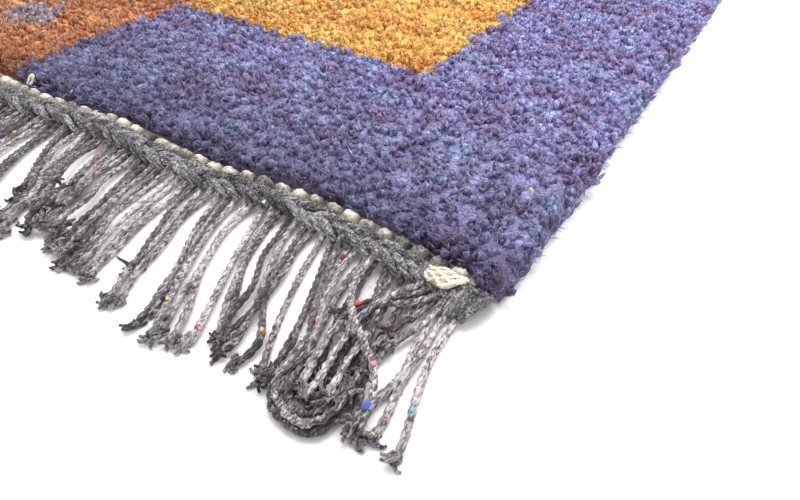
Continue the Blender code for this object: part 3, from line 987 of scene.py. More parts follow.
def makeHairs():
    chance = np.random.default_rng(12)
    shapes = makeShapes("hair", [
        makeSpike("hair", ((0.55, 1.0),), 3, chance.uniform(-30, 30, 2), chance)
        for kind in range(hairs["kinds"])])
    halves = np.array([rug["width"], rug["length"]]) / 2 - hairs["inset"]
    inside = chance.uniform(-1, 1, (hairs["inside"] + hairs["front"], 2)) * halves
    inside[:hairs["front"], 1] = -halves[1] + chance.uniform(0, hairs["frontReach"], hairs["front"])
    rim = chance.uniform(-1, 1, (hairs["rim"], 2))
    atSide = chance.uniform(0, 1, hairs["rim"]) < hairs["sideShare"]
    rim[atSide, 0] = np.sign(rim[atSide, 0])
    rim[~atSide, 1] = np.sign(rim[~atSide, 1])
    rim = rim * (halves - chance.uniform(0, hairs["rimReach"], (hairs["rim"], 1)))
    flat = np.concatenate([inside, rim])
    count = len(flat)
    names = blockNames(flat, chance)
    isRim = np.arange(count) >= len(inside)
    tilt = np.where(isRim, chance.uniform(*hairs["rimTilt"], count), chance.uniform(*hairs["tilt"], count))
    # hairs of the rim point outward, the others anywhere
    beyond = np.where(np.abs(flat) > halves - hairs["rimBand"], np.sign(flat), 0.0)
    outward = np.arctan2(beyond[:, 1], beyond[:, 0])
    turn = np.where(isRim, outward + chance.normal(0, 1.1, count), chance.uniform(0, 2 * np.pi, count))
    height = np.where(isRim, chance.uniform(hairs["rimFloor"], hairs["floor"], count),
                      chance.uniform(hairs["floor"], hairs["top"], count))
    width = hairs["radius"] * chance.uniform(0.7, 1.5, count)
    long = chance.uniform(*hairs["length"], count) * np.where(isRim, hairs["rimLong"], 1.0)
    values = {
        "lean": leanTowards(turn, tilt),
        "turn": chance.uniform(0, 2 * np.pi, count),
        "size": np.column_stack([width, width, long]),
        "kind": chance.integers(0, hairs["kinds"], count),
        "tone": np.clip(chance.normal(0.7, 0.2, count), 0, 1),
        "light": chance.uniform(1.1, 2.0, count),
    }
    points = bendToEdges(np.column_stack([flat, height]))
    made = []
    for slot in ("pile_purple", "pile_orange", "pile_rust"):
        chosen = names == slot
        piece = scatter(slot.replace("pile", "stray"), points[chosen],
                        {key: value[chosen] for key, value in values.items()}, shapes, materials[slot])
        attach(piece, "root")
        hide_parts("pile")
        made.append(piece)
    dropShapes(shapes)
    return made


pilePieces = makePile() + makeMat() + makeHairs()


# Foundation: the woven sheet that the tufts are knotted into
foundation = {"floor": 0.0003, "thickness": 0.0020, "inset": 0.0064, "cells": (28, 42)}


def makeCottonMaterial():
    # Woven picks over the warps, with the backs of the knots showing in the blocks' colours
    material, tree, shader = startMaterial("woven foundation", 0.95, 0.1)
    place = objectPlace(tree)
    waves = [addNode(tree, "ShaderNodeTexWave", {"bands_direction": direction}, {
        "Vector": place, "Scale": 56.0, "Distortion": 1.2, "Detail": 1.0}).outputs[1]
        for direction in ("Y", "X")]
    height = mathNode(tree, "MULTIPLY", *waves)
    mixed = mixNode(tree, height, srgb(150, 140, 126), meshColour(tree, "block"))
    tree.links.new(mixed, shader.inputs["Base Color"])
    addBump(tree, shader, height, 0.8, 0.001)
    return material


def makeFoundation():
    cellsX, cellsY = foundation["cells"]
    across = np.linspace(-1, 1, cellsX + 1) * (rug["width"] / 2 - foundation["inset"])
    endwise = np.linspace(-1, 1, cellsY + 1) * (rug["length"] / 2 - foundation["inset"])
    x, y = np.meshgrid(across, endwise)
    flat = np.column_stack([x.ravel(), y.ravel(), np.zeros(x.size)])
    names = blockNames(flat, np.random.default_rng(3))
    flat = bendToEdges(flat)
    low, high = flat.copy(), flat.copy()
    low[:, 2] = foundation["floor"]
    high[:, 2] = foundation["floor"] + foundation["thickness"]
    mesh = bpy.data.meshes.new("foundation")
    mesh.from_pydata(np.concatenate([low, high]).tolist(), [], slabFaces(cellsY + 1, cellsX + 1))
    colours = {"pile_purple": srgb(110, 98, 140), "pile_orange": srgb(214, 144, 76),
               "pile_rust": srgb(166, 112, 84), "pile_lilac": srgb(150, 134, 142)}
    storeValues(mesh, {"block": [colours[name] for name in names] * 2})
    mesh.shade_smooth()
    mesh.set_sharp_from_angle(angle=math.radians(40))
    mesh.materials.append(makeCottonMaterial())
    piece = addObject("foundation", mesh)
    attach(piece, "root")
    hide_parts("pile")
    return piece


foundationPiece = makeFoundation()
print("foundation ready")


# End rows: a cream and grey knuckle over each group of warps
endRow = {
    "pitch": 0.0112,
    "end": 0.022,
    "middle": 0.0030,        # outward from the pile's edge
    "floor": 0.0002,
    "size": (0.0043, 0.0060, 0.0092),
    "greyLoops": (0.036, 0.062),     # where no cream shows at the front
    "kinds": 6,
}
# One knuckle, in shares of its size
knuckle = {
    "columns": 9,
    "rows": 7,
    "square": 0.9,           # how low its top comes at the sides
    "ridge": 0.07,
    "ridgeSlant": 0.6,
    "waist": 0.72,           # its width at the ends
    "skew": 0.10,
    "tall": 0.92,
}


def makeKnuckleMaterial():
    # Cream picks at the back of each knuckle, grey warps at its front
    material, tree, shader = startMaterial("cream picks", 0.92, 0.15)
    yarn = addGroup(tree, heatherGroup, {
        "Dark": srgb(216, 200, 172), "Middle": srgb(252, 244, 224), "Light": srgb(255, 253, 244),
        "Grain": 1100.0, "Stretch": (1.0, 1.0, 1.0), "Tone": 0.5})
    warp = addGroup(tree, heatherGroup, {
        "Dark": srgb(70, 68, 66), "Middle": srgb(118, 114, 110), "Light": srgb(170, 166, 160),
        "Grain": 1300.0, "Stretch": (1.0, 0.5, 1.0), "Tone": 0.5})
    ragged = noiseNode(tree, objectPlace(tree), 500.0)
    edge = mathNode(tree, "ADD", meshValue(tree, "forward"), meshValue(tree, "tone"))
    edge = mathNode(tree, "ADD", edge, mathNode(tree, "MULTIPLY", ragged, 0.5))
    share = rangeNode(tree, edge, 0.78, 1.08)
    mixed = mixNode(tree, share, yarn.outputs["Color"], warp.outputs["Color"])
    tree.links.new(mixed, shader.inputs["Base Color"])
    addBump(tree, shader, yarn.outputs["Height"], 0.8, 0.0006)
    return material


def makeKnuckle(chance):
    # A plump bundle of warps that arches over and dives under the braid: two or three ridges
    columns, rows = knuckle["columns"], knuckle["rows"]
    ridges = chance.integers(2, 4)
    points, forward = [], []
    for row in range(rows):
        slope = math.pi * row / (rows - 1)
        for column in range(columns):
            across = 2 * column / (columns - 1) - 1
            arch = math.sqrt(max(0.0, 1 - across**4 * knuckle["square"]))
            ridge = knuckle["ridge"] * math.cos(math.pi * ridges * across + knuckle["ridgeSlant"] * row)
            wide = knuckle["waist"] + (1 - knuckle["waist"]) * math.sin(slope)
            points.append((across * wide + knuckle["skew"] * math.cos(slope),
                           math.cos(slope) * (0.95 + chance.uniform(-0.05, 0.05)),
                           max(0.0, math.sin(slope) * (arch * knuckle["tall"] + ridge))))
            forward.append(row / (rows - 1))
    faces = []
    for row in range(rows - 1):
        for column in range(columns - 1):
            corner = row * columns + column
            faces.append((corner, corner + columns, corner + columns + 1, corner + 1))
    rim = gridRim(rows, columns)
    faces.append(tuple(rim[1:] + rim[:1]))
    mesh = bpy.data.meshes.new("knuckle")
    mesh.from_pydata(points, [], faces)
    storeValues(mesh, {"forward": np.array(forward)})
    mesh.shade_smooth()
    return mesh


def makeEndRow(name, seed):
    end = ends[name]
    chance = np.random.default_rng(seed)
    shapes = makeShapes("knuckle", [makeKnuckle(chance) for kind in range(endRow["kinds"])])
    count = round((rug["width"] - 2 * endRow["end"]) / endRow["pitch"])
    along = np.linspace(endRow["end"] + endRow["pitch"] / 2,
                        rug["width"] - endRow["end"] - endRow["pitch"] / 2, count)
    along = along + chance.normal(0, 0.0005, count)
    points = endPoints(end, along, endRow["middle"] + chance.normal(0, 0.0003, count), endRow["floor"])
    scale = chance.uniform(0.9, 1.08, (count, 3)) * np.array(endRow["size"])
    low, high = endRow["greyLoops"]
    grey = (along > low) & (along < high) & (name == "front")
    values = {
        "lean": np.zeros((count, 3)),
        "turn": np.full(count, 0.0 if end["out"] < 0 else np.pi) + chance.normal(0, 0.08, count),
        "size": scale,
        "kind": chance.integers(0, endRow["kinds"], count),
        "tone": np.where(grey, 0.8, np.clip(chance.normal(0.10, 0.14, count), 0, 0.5)),
    }
    piece = scatter("end_row_" + name + "_knuckles", points, values, shapes, knuckleMaterial)
    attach(piece, "root")
    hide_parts("end_row_" + name)
    dropShapes(shapes)
    return piece


knuckleMaterial = makeKnuckleMaterial()
rowPieces = [makeEndRow("front", 21), makeEndRow("back", 22)]
print("end rows ready")


# Braid: short twisted strands laid herringbone in two rows
braid = {
    "pitch": 0.0076,
    "end": 0.010,
    "reach": 2.4,            # length of a stitch along the braid, in pitches
    "offsets": {"backRow": -0.2, "frontRow": 0.3},   # where each row's stitches start, in pitches
    "tuck": 0.008,           # no stitch comes nearer to the braid's end
    # a stitch's points in each row: out from the pile's edge, and height
    "backRow": ((0.0096, 0.0058), (0.0106, 0.0092), (0.0128, 0.0102), (0.0148, 0.0084),
                (0.0156, 0.0058)),
    "frontRow": ((0.0208, 0.0046), (0.0200, 0.0078), (0.0178, 0.0098), (0.0158, 0.0086),
                 (0.0150, 0.0062)),
    "steps": 9,              # points of a stitch
    "stray": (0.0004, 0.0008, 0.0007),       # how uneven the stitches are, along, out and up
    "wraps": 6,              # strands that wrap each end of the braid
    "wrapStep": 0.0023,
    # a wrapping strand's points: along from the braid's end, out from the pile's edge, height
    "wrap": ((-0.0016, 0.0030, 0.0040), (-0.0024, 0.0085, 0.0076), (-0.0008, 0.0155, 0.0092),
             (0.0014, 0.0215, 0.0078), (0.0044, 0.0262, 0.0034)),
    "plies": 3,
    "plyRadius": 0.00128,
    "plyOffset": 0.00098,
    "turnLength": 0.0220,
    "ringSpacing": 0.0021,
    "backSpacing": 0.0036,
    "sides": 5,
}


def makeBraid(name, seed, spacing):
    end = ends[name]
    chance = np.random.default_rng(seed)
    span = rug["width"] - 2 * braid["end"]
    stitches = round(span / braid["pitch"])
    pitch = span / stitches
    smooth = np.linspace(0, 1, braid["steps"])
    lines, values = [], {}
    for row in ("backRow", "frontRow"):
        section = np.array(braid[row])
        shares = np.linspace(0, 1, len(section))
        for stitch in range(stitches):
            start = braid["end"] + pitch * (stitch + braid["offsets"][row])
            start = max(start + chance.normal(0, braid["stray"][0]), braid["tuck"])
            stop = min(start + pitch * braid["reach"], rug["width"] - braid["tuck"])
            along = start + (stop - start) * shares
            out = section[:, 0] + chance.normal(0, braid["stray"][1])
            height = section[:, 1] + chance.normal(0, braid["stray"][2])
            line = endPoints(end, along, out, height)
            line = np.column_stack([np.interp(smooth, shares, line[:, axis]) for axis in range(3)])
            addLine(lines, values, line, tone=chance.uniform(0, 1), phase=chance.uniform(0, 1),
                    thick=chance.uniform(0.85, 1.15) * np.sin(np.pi * (0.15 + 0.7 * smooth)),
                    spread=1, aged=0)
    settings = dict(braid, ringSpacing=spacing)
    for side in (1, -1):
        for wrap in range(braid["wraps"]):
            section = np.array(braid["wrap"]) + chance.normal(0, 0.0005, (len(braid["wrap"]), 3))
            along = section[:, 0] + braid["end"] + braid["wrapStep"] * wrap
            along = along if side > 0 else rug["width"] - along
            line = smoothLine(endPoints(end, along, section[:, 1], section[:, 2]), 0.0015)
            addLine(lines, values, line, tone=chance.uniform(0.2, 1.0), phase=chance.uniform(0, 1),
                    thick=np.sin(np.pi * (0.2 + 0.6 * np.linspace(0, 1, len(line)))), spread=1, aged=0.4)
    piece = twist("braid_" + name + "_strands", lines, values, settings, materials["braid_yarn"])
    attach(piece, "root")
    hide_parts("braid_" + name)
    return piece


braidPieces = [makeBraid("front", 31, braid["ringSpacing"]), makeBraid("back", 32, braid["backSpacing"])]
print("braids ready")


# Fringe: twisted cords in locks on the floor. A lock's row holds its cords, how far their tips
# drift towards the first corner, how much they draw together, how far from the pile's edge they
# reach, how far round their tips curl in degrees, and how tangled they are
fringe = {
    "firstCord": 0.016,
    "start": 0.014,          # under the braid
    "plies": 2,
    "plyRadius": 0.00130,
    "plyOffset": 0.00058,
    "turnLength": 0.0105,    # of one turn of the twist
    "ringSpacing": 0.0018,
    "backSpacing": 0.0034,   # the back end's cords have fewer rings
    "sides": 5,
    "curlRadius": 0.0036,
    "steps": 18,
    "heap": 0.0045,          # how high tangled cords lie on one another
    "early": 0.25,           # how much of a cord's drift is even, while the rest comes late
    "wave": (0.0015, 0.0014),        # how far the cords sway, and what a tangle adds
    "waves": ((0.8, 2.0), (0.6, 4.5)),       # the sway's finer waves: strength and half turns
    "drop": 0.0026,          # how much higher a cord is where it leaves the braid
}
frontLocks = (
    (3, 0.010, 0.00, 0.106, 30, 0.3),
    (11, 0.016, 0.39, 0.100, 70, 0.7),
    (2, 0.029, 0.11, 0.106, 40, 0.3),
    (4, 0.028, 0.41, 0.103, 120, 0.6),
    (2, 0.032, 0.29, 0.096, 40, 0.3),
    (1, 0.034, 0.00, 0.108, 200, 0.2),
    (2, 0.032, -0.60, 0.108, 50, 0.2),
    (2, 0.033, 0.20, 0.111, 50, 0.3),
    (1, 0.035, 0.00, 0.100, 60, 0.2),
    (2, 0.024, 0.29, 0.107, 60, 0.3),
    (1, 0.021, 0.00, 0.091, 70, 0.3),
    (4, 0.019, 0.23, 0.101, 60, 0.3),
    (4, 0.023, 0.17, 0.101, 80, 0.5),
    (3, 0.026, 0.11, 0.100, 90, 0.8),
    (3, 0.031, 0.29, 0.090, 160, 1.0),
    (3, 0.031, 0.47, 0.102, 60, 0.5),
    (3, 0.036, 0.29, 0.083, 100, 0.6),
    (2, 0.034, 0.11, 0.101, 60, 0.3),
    (5, 0.026, 0.20, 0.104, 60, 0.3),
    (7, 0.019, 0.35, 0.108, 60, 0.4),
    (2, 0.015, 0.00, 0.102, 80, 0.3),
    (6, 0.010, 0.30, 0.105, 90, 0.5),
    (4, 0.006, 0.15, 0.098, 60, 0.3),
    (8, 0.003, 0.38, 0.109, 120, 0.8),
    (3, -0.001, 0.10, 0.100, 50, 0.3),
    (6, 0.000, 0.30, 0.104, 60, 0.4),
    (4, -0.007, 0.15, 0.098, 80, 0.3),
    (6, -0.002, 0.25, 0.107, 40, 0.3),
)
backLocks = (
    (5, 0.006, 0.25, 0.106, 40, 0.3),
    (4, 0.010, 0.15, 0.101, 60, 0.3),
    (8, 0.014, 0.42, 0.112, 160, 0.8),
    (3, 0.009, 0.15, 0.098, 70, 0.3),
    (7, 0.004, 0.35, 0.107, 50, 0.4),
    (6, 0.011, 0.35, 0.103, 90, 0.6),
    (2, 0.006, 0.00, 0.109, 30, 0.2),
    (9, 0.002, 0.35, 0.104, 70, 0.4),
    (4, -0.002, 0.15, 0.099, 50, 0.3),
    (7, 0.003, 0.35, 0.108, 140, 0.8),
    (3, 0.008, 0.15, 0.102, 80, 0.3),
    (8, 0.012, 0.38, 0.110, 50, 0.4),
    (5, 0.003, 0.15, 0.097, 60, 0.3),
    (6, -0.003, 0.35, 0.105, 90, 0.6),
    (4, 0.004, 0.15, 0.101, 60, 0.3),
    (9, 0.007, 0.35, 0.108, 50, 0.5),
    (5, 0.003, 0.25, 0.103, 70, 0.3),
    (9, -0.002, 0.15, 0.106, 40, 0.3),
)
# Loose cords of the front end that cross the others or loop back. Each has its tone, its
# thickness and its points in millimetres: from the corner, out from the pile's edge, height
looseCords = (
    (0.70, 1.0, ((66, 16, 6), (65, 30, 8), (62, 46, 9), (54, 59, 9.5), (45, 67, 10), (34, 75, 9.5),
                 (28, 80, 9), (23, 87, 7.5), (20.5, 95, 6), (21.5, 101, 5), (23, 107, 3.5))),
    (0.05, 1.05, ((60, 80, 7), (60.5, 90, 5), (60.5, 100, 4), (57.5, 108, 4), (49.5, 114.5, 3.5),
                  (40, 116, 3), (33.5, 115, 3), (29.8, 110, 3.5), (28.2, 101, 4), (28.8, 92, 5),
                  (31, 80, 7))),
    (0.35, 1.0, ((57, 80, 7), (57.5, 98, 5), (54.5, 105.5, 4.5), (48.5, 111.5, 4), (40.5, 113, 3.5),
                 (34.8, 111.4, 3.5), (31.8, 107, 4), (30.6, 100, 4.5), (31, 91, 6), (33, 78, 8))),
    (0.50, 0.85, ((59, 84, 8), (58.5, 101, 7.5), (55, 107.5, 7), (48.5, 113, 6.5), (40.5, 114.5, 6),
                  (34, 113, 6), (30.8, 108, 6.5), (29.6, 100, 7), (30.5, 88, 8))),
    (0.30, 0.95, ((53, 84, 7), (54, 94, 5.5), (53, 101, 5), (50.5, 106, 4.5), (46, 109.4, 4),
                  (40.5, 110, 4), (36.5, 108, 4.5), (34, 103, 5), (33.4, 96, 6), (34.5, 86, 7))),
    (0.00, 0.95, ((50, 90, 3), (48, 100, 3), (43, 105, 3), (38, 102, 3.2), (37, 96, 3.5), (40, 92, 3),
                  (45, 94, 3), (47, 98, 3))),
    (0.05, 0.90, ((45, 84, 3), (42, 91, 3), (44, 98, 3.2), (49, 101, 3.5), (52, 96, 3), (50, 89, 3.5))),
    (0.00, 0.90, ((41, 82, 3), (38, 88, 3), (40, 96, 3), (36, 100, 3), (34, 95, 3.5))),
    (0.80, 0.95, ((54, 66, 8), (51, 80, 9), (50, 90, 9), (48, 98, 8.5), (45, 104, 7.5))),
    (1.00, 0.85, ((47, 66, 8), (46, 80, 9.5), (43, 92, 9), (41, 99, 8.5), (43, 105, 8))),
    (0.80, 0.90, ((40, 66, 8), (39, 80, 9), (37, 90, 8.5), (37, 97, 8), (34, 102, 7.5))),
    (0.05, 0.90, ((52, 88, 8), (56, 95, 7.5), (60, 102, 6.5), (64, 106, 5))),
    (0.05, 0.85, ((66, 80, 5), (64, 92, 4), (62, 103, 3))),
    (0.30, 0.95, ((26, 22, 6), (30, 33, 7), (37, 42, 8), (45, 49, 8.5), (53, 57, 7.5), (58, 66, 6))),
    (0.15, 0.90, ((31, 22, 6), (36, 35, 8), (44, 45, 9), (52, 53, 8.5), (58, 61, 7))),
    (0.60, 0.85, ((36, 22, 7), (41, 37, 9), (46, 50, 10), (48, 62, 9.5), (47, 74, 8))),
    (0.20, 0.90, ((28, 22, 5), (28, 32, 5), (30, 42, 5), (34, 52, 5), (36, 62, 5))),
    (0.40, 0.90, ((24, 22, 5), (24, 33, 4), (25, 44, 4), (29, 56, 4), (33, 68, 4))),
    (0.55, 0.95, ((236, 50, 6), (237, 70, 4), (239, 81, 3), (244, 84, 3), (247, 78, 4),
                  (244, 68, 6), (240, 58, 7))),
    (0.00, 1.05, ((206, 80, 5), (212, 90, 5), (222, 93, 5), (230, 88, 5), (229, 80, 6), (220, 76, 7))),
    (0.10, 1.0, ((234, 74, 5), (232, 84, 4), (225, 92, 3), (218, 97, 3))),
    (0.30, 0.95, ((205, 92, 4), (198, 98, 4), (190, 97, 4), (188, 90, 5))),
)


def cordLine(end, root, shift, reach, curl, mess, chance):
    # A cord's middle line: out from under the braid, bending over to its tip, then a curl
    radius = fringe["plyRadius"] + fringe["plyOffset"] * 0.8
    begin = fringe["start"] + float(edgeShift(end, root))
    arc = fringe["curlRadius"] * math.radians(abs(curl))
    share = np.linspace(0, 1, fringe["steps"])
    out = begin + (reach - arc * 0.45 - begin) * share
    late = fringe["early"] * smoothStep(share) + (1 - fringe["early"]) * share**1.5
    wave = fringe["wave"][0] + fringe["wave"][1] * mess
    sway = chance.normal(0, wave) * np.sin(np.pi * share)
    for strength, turns in fringe["waves"]:
        sway += chance.normal(0, wave * strength) * np.sin(
            turns * np.pi * share + chance.uniform(0, 6)) * share
    along = root + shift * late + sway
    heap = fringe["heap"] * mess * chance.uniform(0, 1) + abs(chance.normal(0, 0.0004))
    height = radius + heap * smoothStep(share / 0.55) * (1 - 0.5 * smoothStep((share - 0.8) / 0.2))
    height += fringe["drop"] * np.clip(1 - share * 5, 0, 1)
    x = -end["out"] * (rug["width"] / 2 - along)
    y = end["out"] * (rug["length"] / 2 + out)
    line = np.column_stack([x, y, height])
    if arc > 0:
        heading = math.atan2(line[-1, 1] - line[-2, 1], line[-1, 0] - line[-2, 0])
        steps = max(3, round(abs(curl) / 20))
        turn = math.radians(curl) / steps
        rise = chance.uniform(-0.0006, 0.0008) * mess
        for step in range(steps):
            heading += turn
            ahead = line[-1] + arc / steps * np.array([math.cos(heading), math.sin(heading), 0.0])
            ahead[2] = max(radius, ahead[2] + rise)
            line = np.vstack([line, ahead])
    return line


def cordsOf(locks):
    count = sum(lock[0] for lock in locks)
    pitch = (rug["width"] - 2 * fringe["firstCord"]) / (count - 1)
    cords = []
    for many, drift, gather, reach, curl, mess in locks:
        first = fringe["firstCord"] + pitch * len(cords)
        middle = first + pitch * (many - 1) / 2
        for cord in range(many):
            root = first + pitch * cord
            cords.append((root, -drift - gather * (root - middle), reach, curl, mess))
    return cords


def addCord(lines, values, line, tone, thick, chance, aged):
    share = np.linspace(0, 1, len(line))
    lumps = 1 + 0.09 * np.sin(share * 23 + chance.uniform(0, 6)) + 0.11 * np.sin(share * 9 + tone * 40)
    addLine(lines, values, line, tone=tone, phase=chance.uniform(0, 1),
            thick=thick * lumps * (0.97 + 0.11 * share) * np.clip((1 - share) * 14 + 0.5, 0, 1),
            spread=1 + 0.5 * smoothStep((share - 0.86) / 0.14), aged=aged * share)


def makeFringe(name, locks, loose, seed, spacing, threads):
    end = ends[name]
    chance = np.random.default_rng(seed)
    lines, values = [], {}
    for root, shift, reach, curl, mess in cordsOf(locks):
        line = cordLine(end, root, shift + chance.normal(0, 0.0006 + 0.0035 * mess),
                        reach - abs(chance.normal(0, 0.002 + 0.006 * mess)),
                        curl * chance.uniform(-1, 1) * (0.5 + 0.5 * mess), mess, chance)
        # a cord is darker towards its tip, and more so the more tangled it is
        addCord(lines, values, line, chance.uniform(0, 1), chance.uniform(0.92, 1.06), chance,
                0.7 + 0.9 * mess)
    for tone, thick, points in loose:
        line = smoothLine(measuredPoints(end, points), 0.003)
        line[:, :2] += chance.normal(0, 0.0004, (len(line), 2))
        addCord(lines, values, line, tone, thick, chance, 1.8 if tone < 0.25 else 0.2)
    settings = dict(fringe, ringSpacing=spacing)
    piece = twist("fringe_" + name + "_cords", lines, values, settings, materials["fringe_yarn"])
    frays = makeFrays(name, lines, values["tone"], threads, chance)
    for part in (piece, frays):
        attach(part, "root")
        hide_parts("fringe_" + name)
    return [piece, frays], lines


# Frays: stout, loosely bent threads at every cord's tip
fray = {
    "threads": 8,            # at each tip
    "backThreads": 3,
    "length": 0.0058,
    "steps": 8,
    "plies": 1,
    "plyRadius": 0.00078,
    "plyOffset": 0.0,
    "turnLength": 0.01,
    "ringSpacing": 0.0015,
    "sides": 3,
}


def makeFrays(name, cordLines, tones, threads, chance):
    lines, values = [], {}
    stride = fray["length"] / fray["steps"]
    for cord, tone in zip(cordLines, tones):
        heading = math.atan2(cord[-1, 1] - cord[-3, 1], cord[-1, 0] - cord[-3, 0])
        for thread in range(threads):
            place = cord[-2] + np.append(chance.normal(0, 0.0010, 2), chance.uniform(-0.0004, 0.0012))
            aim = heading + chance.normal(0, 0.6)
            bend = chance.choice((-1, 1)) * chance.uniform(0.05, 0.5)
            climb = chance.normal(0, 0.0003)
            line = [place]
            for step in range(fray["steps"]):
                aim += bend + chance.normal(0, 0.25)
                ahead = line[-1] + stride * np.array([math.cos(aim), math.sin(aim), 0.0])
                ahead[2] = max(fray["plyRadius"] * 1.5, ahead[2] + climb - 0.0001)
                line.append(ahead)
            addLine(lines, values, np.array(line), tone=np.clip(tone[0] + chance.normal(0, 0.2), 0, 1),
                    phase=0, thick=np.linspace(1.8, 0.9, len(line)), spread=0, aged=1)
    return twist("fringe_" + name + "_frays", lines, values, fray, materials["fringe_yarn"])


frontFringe, frontCords = makeFringe(
    "front", frontLocks, looseCords, 41, fringe["ringSpacing"], fray["threads"])
backFringe, backCords = makeFringe(
    "back", backLocks, (), 42, fringe["backSpacing"], fray["backThreads"])
fringePieces = [*frontFringe, *backFringe]
print("fringes ready")


# Neps: small lumps of dyed wool caught in the cords and the braid. Each has its colour, its
# distance from the corner and out from the pile's edge in millimetres, its length, and its
# height where it is on the braid
neps = (
    ((226, 130, 160), 27.6, 79.7, 2.8, 0), ((66, 84, 180), 20.2, 94.8, 5.0, 0),
    ((120, 36, 46), 82.0, 26.0, 4.4, 0), ((170, 84, 84), 67.7, 19.6, 2.4, 12.3),
    ((214, 76, 52), 52.4, 53.0, 4.4, 0), ((206, 112, 70), 38.8, 50.3, 2.2, 0),
    ((128, 138, 180), 45.6, 60.8, 3.0, 0), ((150, 156, 190), 62.9, 51.3, 2.8, 0),
    ((140, 44, 60), 66.4, 69.1, 3.2, 0), ((110, 180, 188), 6.2, 87.0, 3.0, 0),
    ((80, 150, 112), 119.3, 110.7, 2.6, 0), ((178, 52, 74), 103.4, 98.2, 4.0, 0),
    ((214, 180, 96), 78.5, 83.2, 2.6, 0), ((214, 190, 110), 127.5, 93.6, 2.2, 0),
    ((236, 236, 238), 134.3, 20.0, 2.2, 9.5), ((204, 180, 90), 307.2, 41.9, 2.6, 0),
    ((206, 130, 90), 73.1, 88.4, 2.2, 0), ((130, 50, 70), 179.3, 27.0, 2.0, 0),
    ((222, 186, 110), 10.2, 101.2, 2.4, 0), ((206, 140, 120), 12.3, 93.1, 2.2, 0),)


nep = {
    "rings": 5,
    "sides": 7,
    "thick": (0.0004, 0.00022),      # half its width, and what each millimetre of length adds
    "tall": 0.0006,
    "lumps": (0.55, 1.35),
}


def makeNeps(cords):
    end = ends["front"]
    chance = np.random.default_rng(61)
    spots = np.concatenate(cords)
    radius = fringe["plyRadius"] + fringe["plyOffset"]
    points, faces, colours = [], [], []
    for shade, side, out, long, height in neps:
        place = measuredPoints(end, (side, out, 0))
        if height:
            centre, ahead = place + np.array([0, 0, height / 1000]), np.array([1.0, -0.3, 0.0])
        else:
            near = np.linalg.norm((spots - place)[:, :2], axis=1)
            chosen = int(np.argmin(near - 0.4 * spots[:, 2]))
            centre = spots[chosen] + np.array([0, 0, radius * 0.82])
            ahead = spots[min(chosen + 1, len(spots) - 1)] - spots[chosen]
        heading = math.atan2(ahead[1], ahead[0]) + chance.normal(0, 0.2)
        first, rings, sides = len(points), nep["rings"], nep["sides"]
        thick = nep["thick"][0] + nep["thick"][1] * long
        for ring in range(rings):
            slope = math.pi * (ring + 0.5) / rings
            for step in range(sides):
                angle = 2 * math.pi * step / sides
                lump = chance.uniform(*nep["lumps"])
                run = long / 2000 * math.cos(slope) * lump
                across = thick * math.sin(slope) * math.cos(angle) * lump
                points.append((centre[0] + run * math.cos(heading) - across * math.sin(heading),
                               centre[1] + run * math.sin(heading) + across * math.cos(heading),
                               centre[2] + nep["tall"] * math.sin(slope) * math.sin(angle) * lump))
        colours += [srgb(*shade)] * (rings * sides)
        faces.append(tuple(first + step for step in range(sides)))
        faces.append(tuple(first + (rings - 1) * sides + step for step in range(sides))[::-1])
        for ring in range(rings - 1):
            for step in range(sides):
                low, after = first + ring * sides, (step + 1) % sides
                faces.append((low + step, low + sides + step, low + sides + after, low + after))
    mesh = bpy.data.meshes.new("dyed_neps")
    mesh.from_pydata(points, [], faces)
    storeValues(mesh, {"dye": colours})
    mesh.shade_smooth()
    material, tree, shader = startMaterial("dyed neps", 0.9, 0.3)
    tree.links.new(meshColour(tree, "dye"), shader.inputs["Base Color"])
    mesh.materials.append(material)
    piece = addObject("dyed_neps", mesh)
    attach(piece, "root")
    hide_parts("fringe_front")
    return piece


fringePieces.append(makeNeps(frontCords))


# Fluff: short grey hairs on the cords and the braid
fluff = {
    "front": (3400, 3000),   # how many are on the cords and on the braid
    "back": (900, 500),
    "kinds": 6,
    "length": (0.002, 0.0045),
    "radius": 0.00012,
    "braid": (0.0095, 0.0205),       # from where to where on the braid, out from the pile's edge
    "braidEnd": 0.014,
    "braidTop": 0.0112,
    "braidMiddle": 0.015,
    "braidFall": 90,         # how fast the braid falls away from its middle
}


def makeFluff(name, cords, seed):
    end = ends[name]
    onCordsCount, onBraidCount = fluff[name]
    chance = np.random.default_rng(seed)
    shapes = makeShapes("fluff", [
        makeSpike("fluff", ((0.5, 1.0),), 3, chance.uniform(-9, 9, 2), chance)
        for kind in range(fluff["kinds"])])
    spots = np.concatenate(cords)
    chosen = spots[chance.integers(0, len(spots), onCordsCount)]
    around = chance.uniform(-1.2, 1.2, len(chosen))
    radius = fringe["plyRadius"] + fringe["plyOffset"]
    onCords = chosen + np.column_stack([radius * np.sin(around), chance.normal(0, 0.0008, len(chosen)),
                                        radius * np.cos(around) * 0.85])
    out = chance.uniform(*fluff["braid"], onBraidCount)
    along = chance.uniform(fluff["braidEnd"], rug["width"] - fluff["braidEnd"], onBraidCount)
    height = fluff["braidTop"] - fluff["braidFall"] * (out - fluff["braidMiddle"]) ** 2
    onBraid = endPoints(end, along, out, height)
    points = np.concatenate([onCords, onBraid])
    count = len(points)
    tilt, turn = chance.uniform(20, 85, count), chance.uniform(0, 2 * np.pi, count)
    width = fluff["radius"] * chance.uniform(0.7, 1.4, count)
    piece = scatter("fringe_" + name + "_fluff", points, {
        "lean": leanTowards(turn, tilt),
        "turn": turn,
        "size": np.column_stack([width, width, chance.uniform(*fluff["length"], count)]),
        "kind": chance.integers(0, fluff["kinds"], count),
        "tone": chance.uniform(0.3, 1.0, count),
        "aged": np.zeros(count)}, shapes, materials["fringe_yarn"])
    dropShapes(shapes)
    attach(piece, "root")
    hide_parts("fringe_" + name)
    return piece


fringePieces += [makeFluff("front", frontCords, 71), makeFluff("back", backCords, 72)]


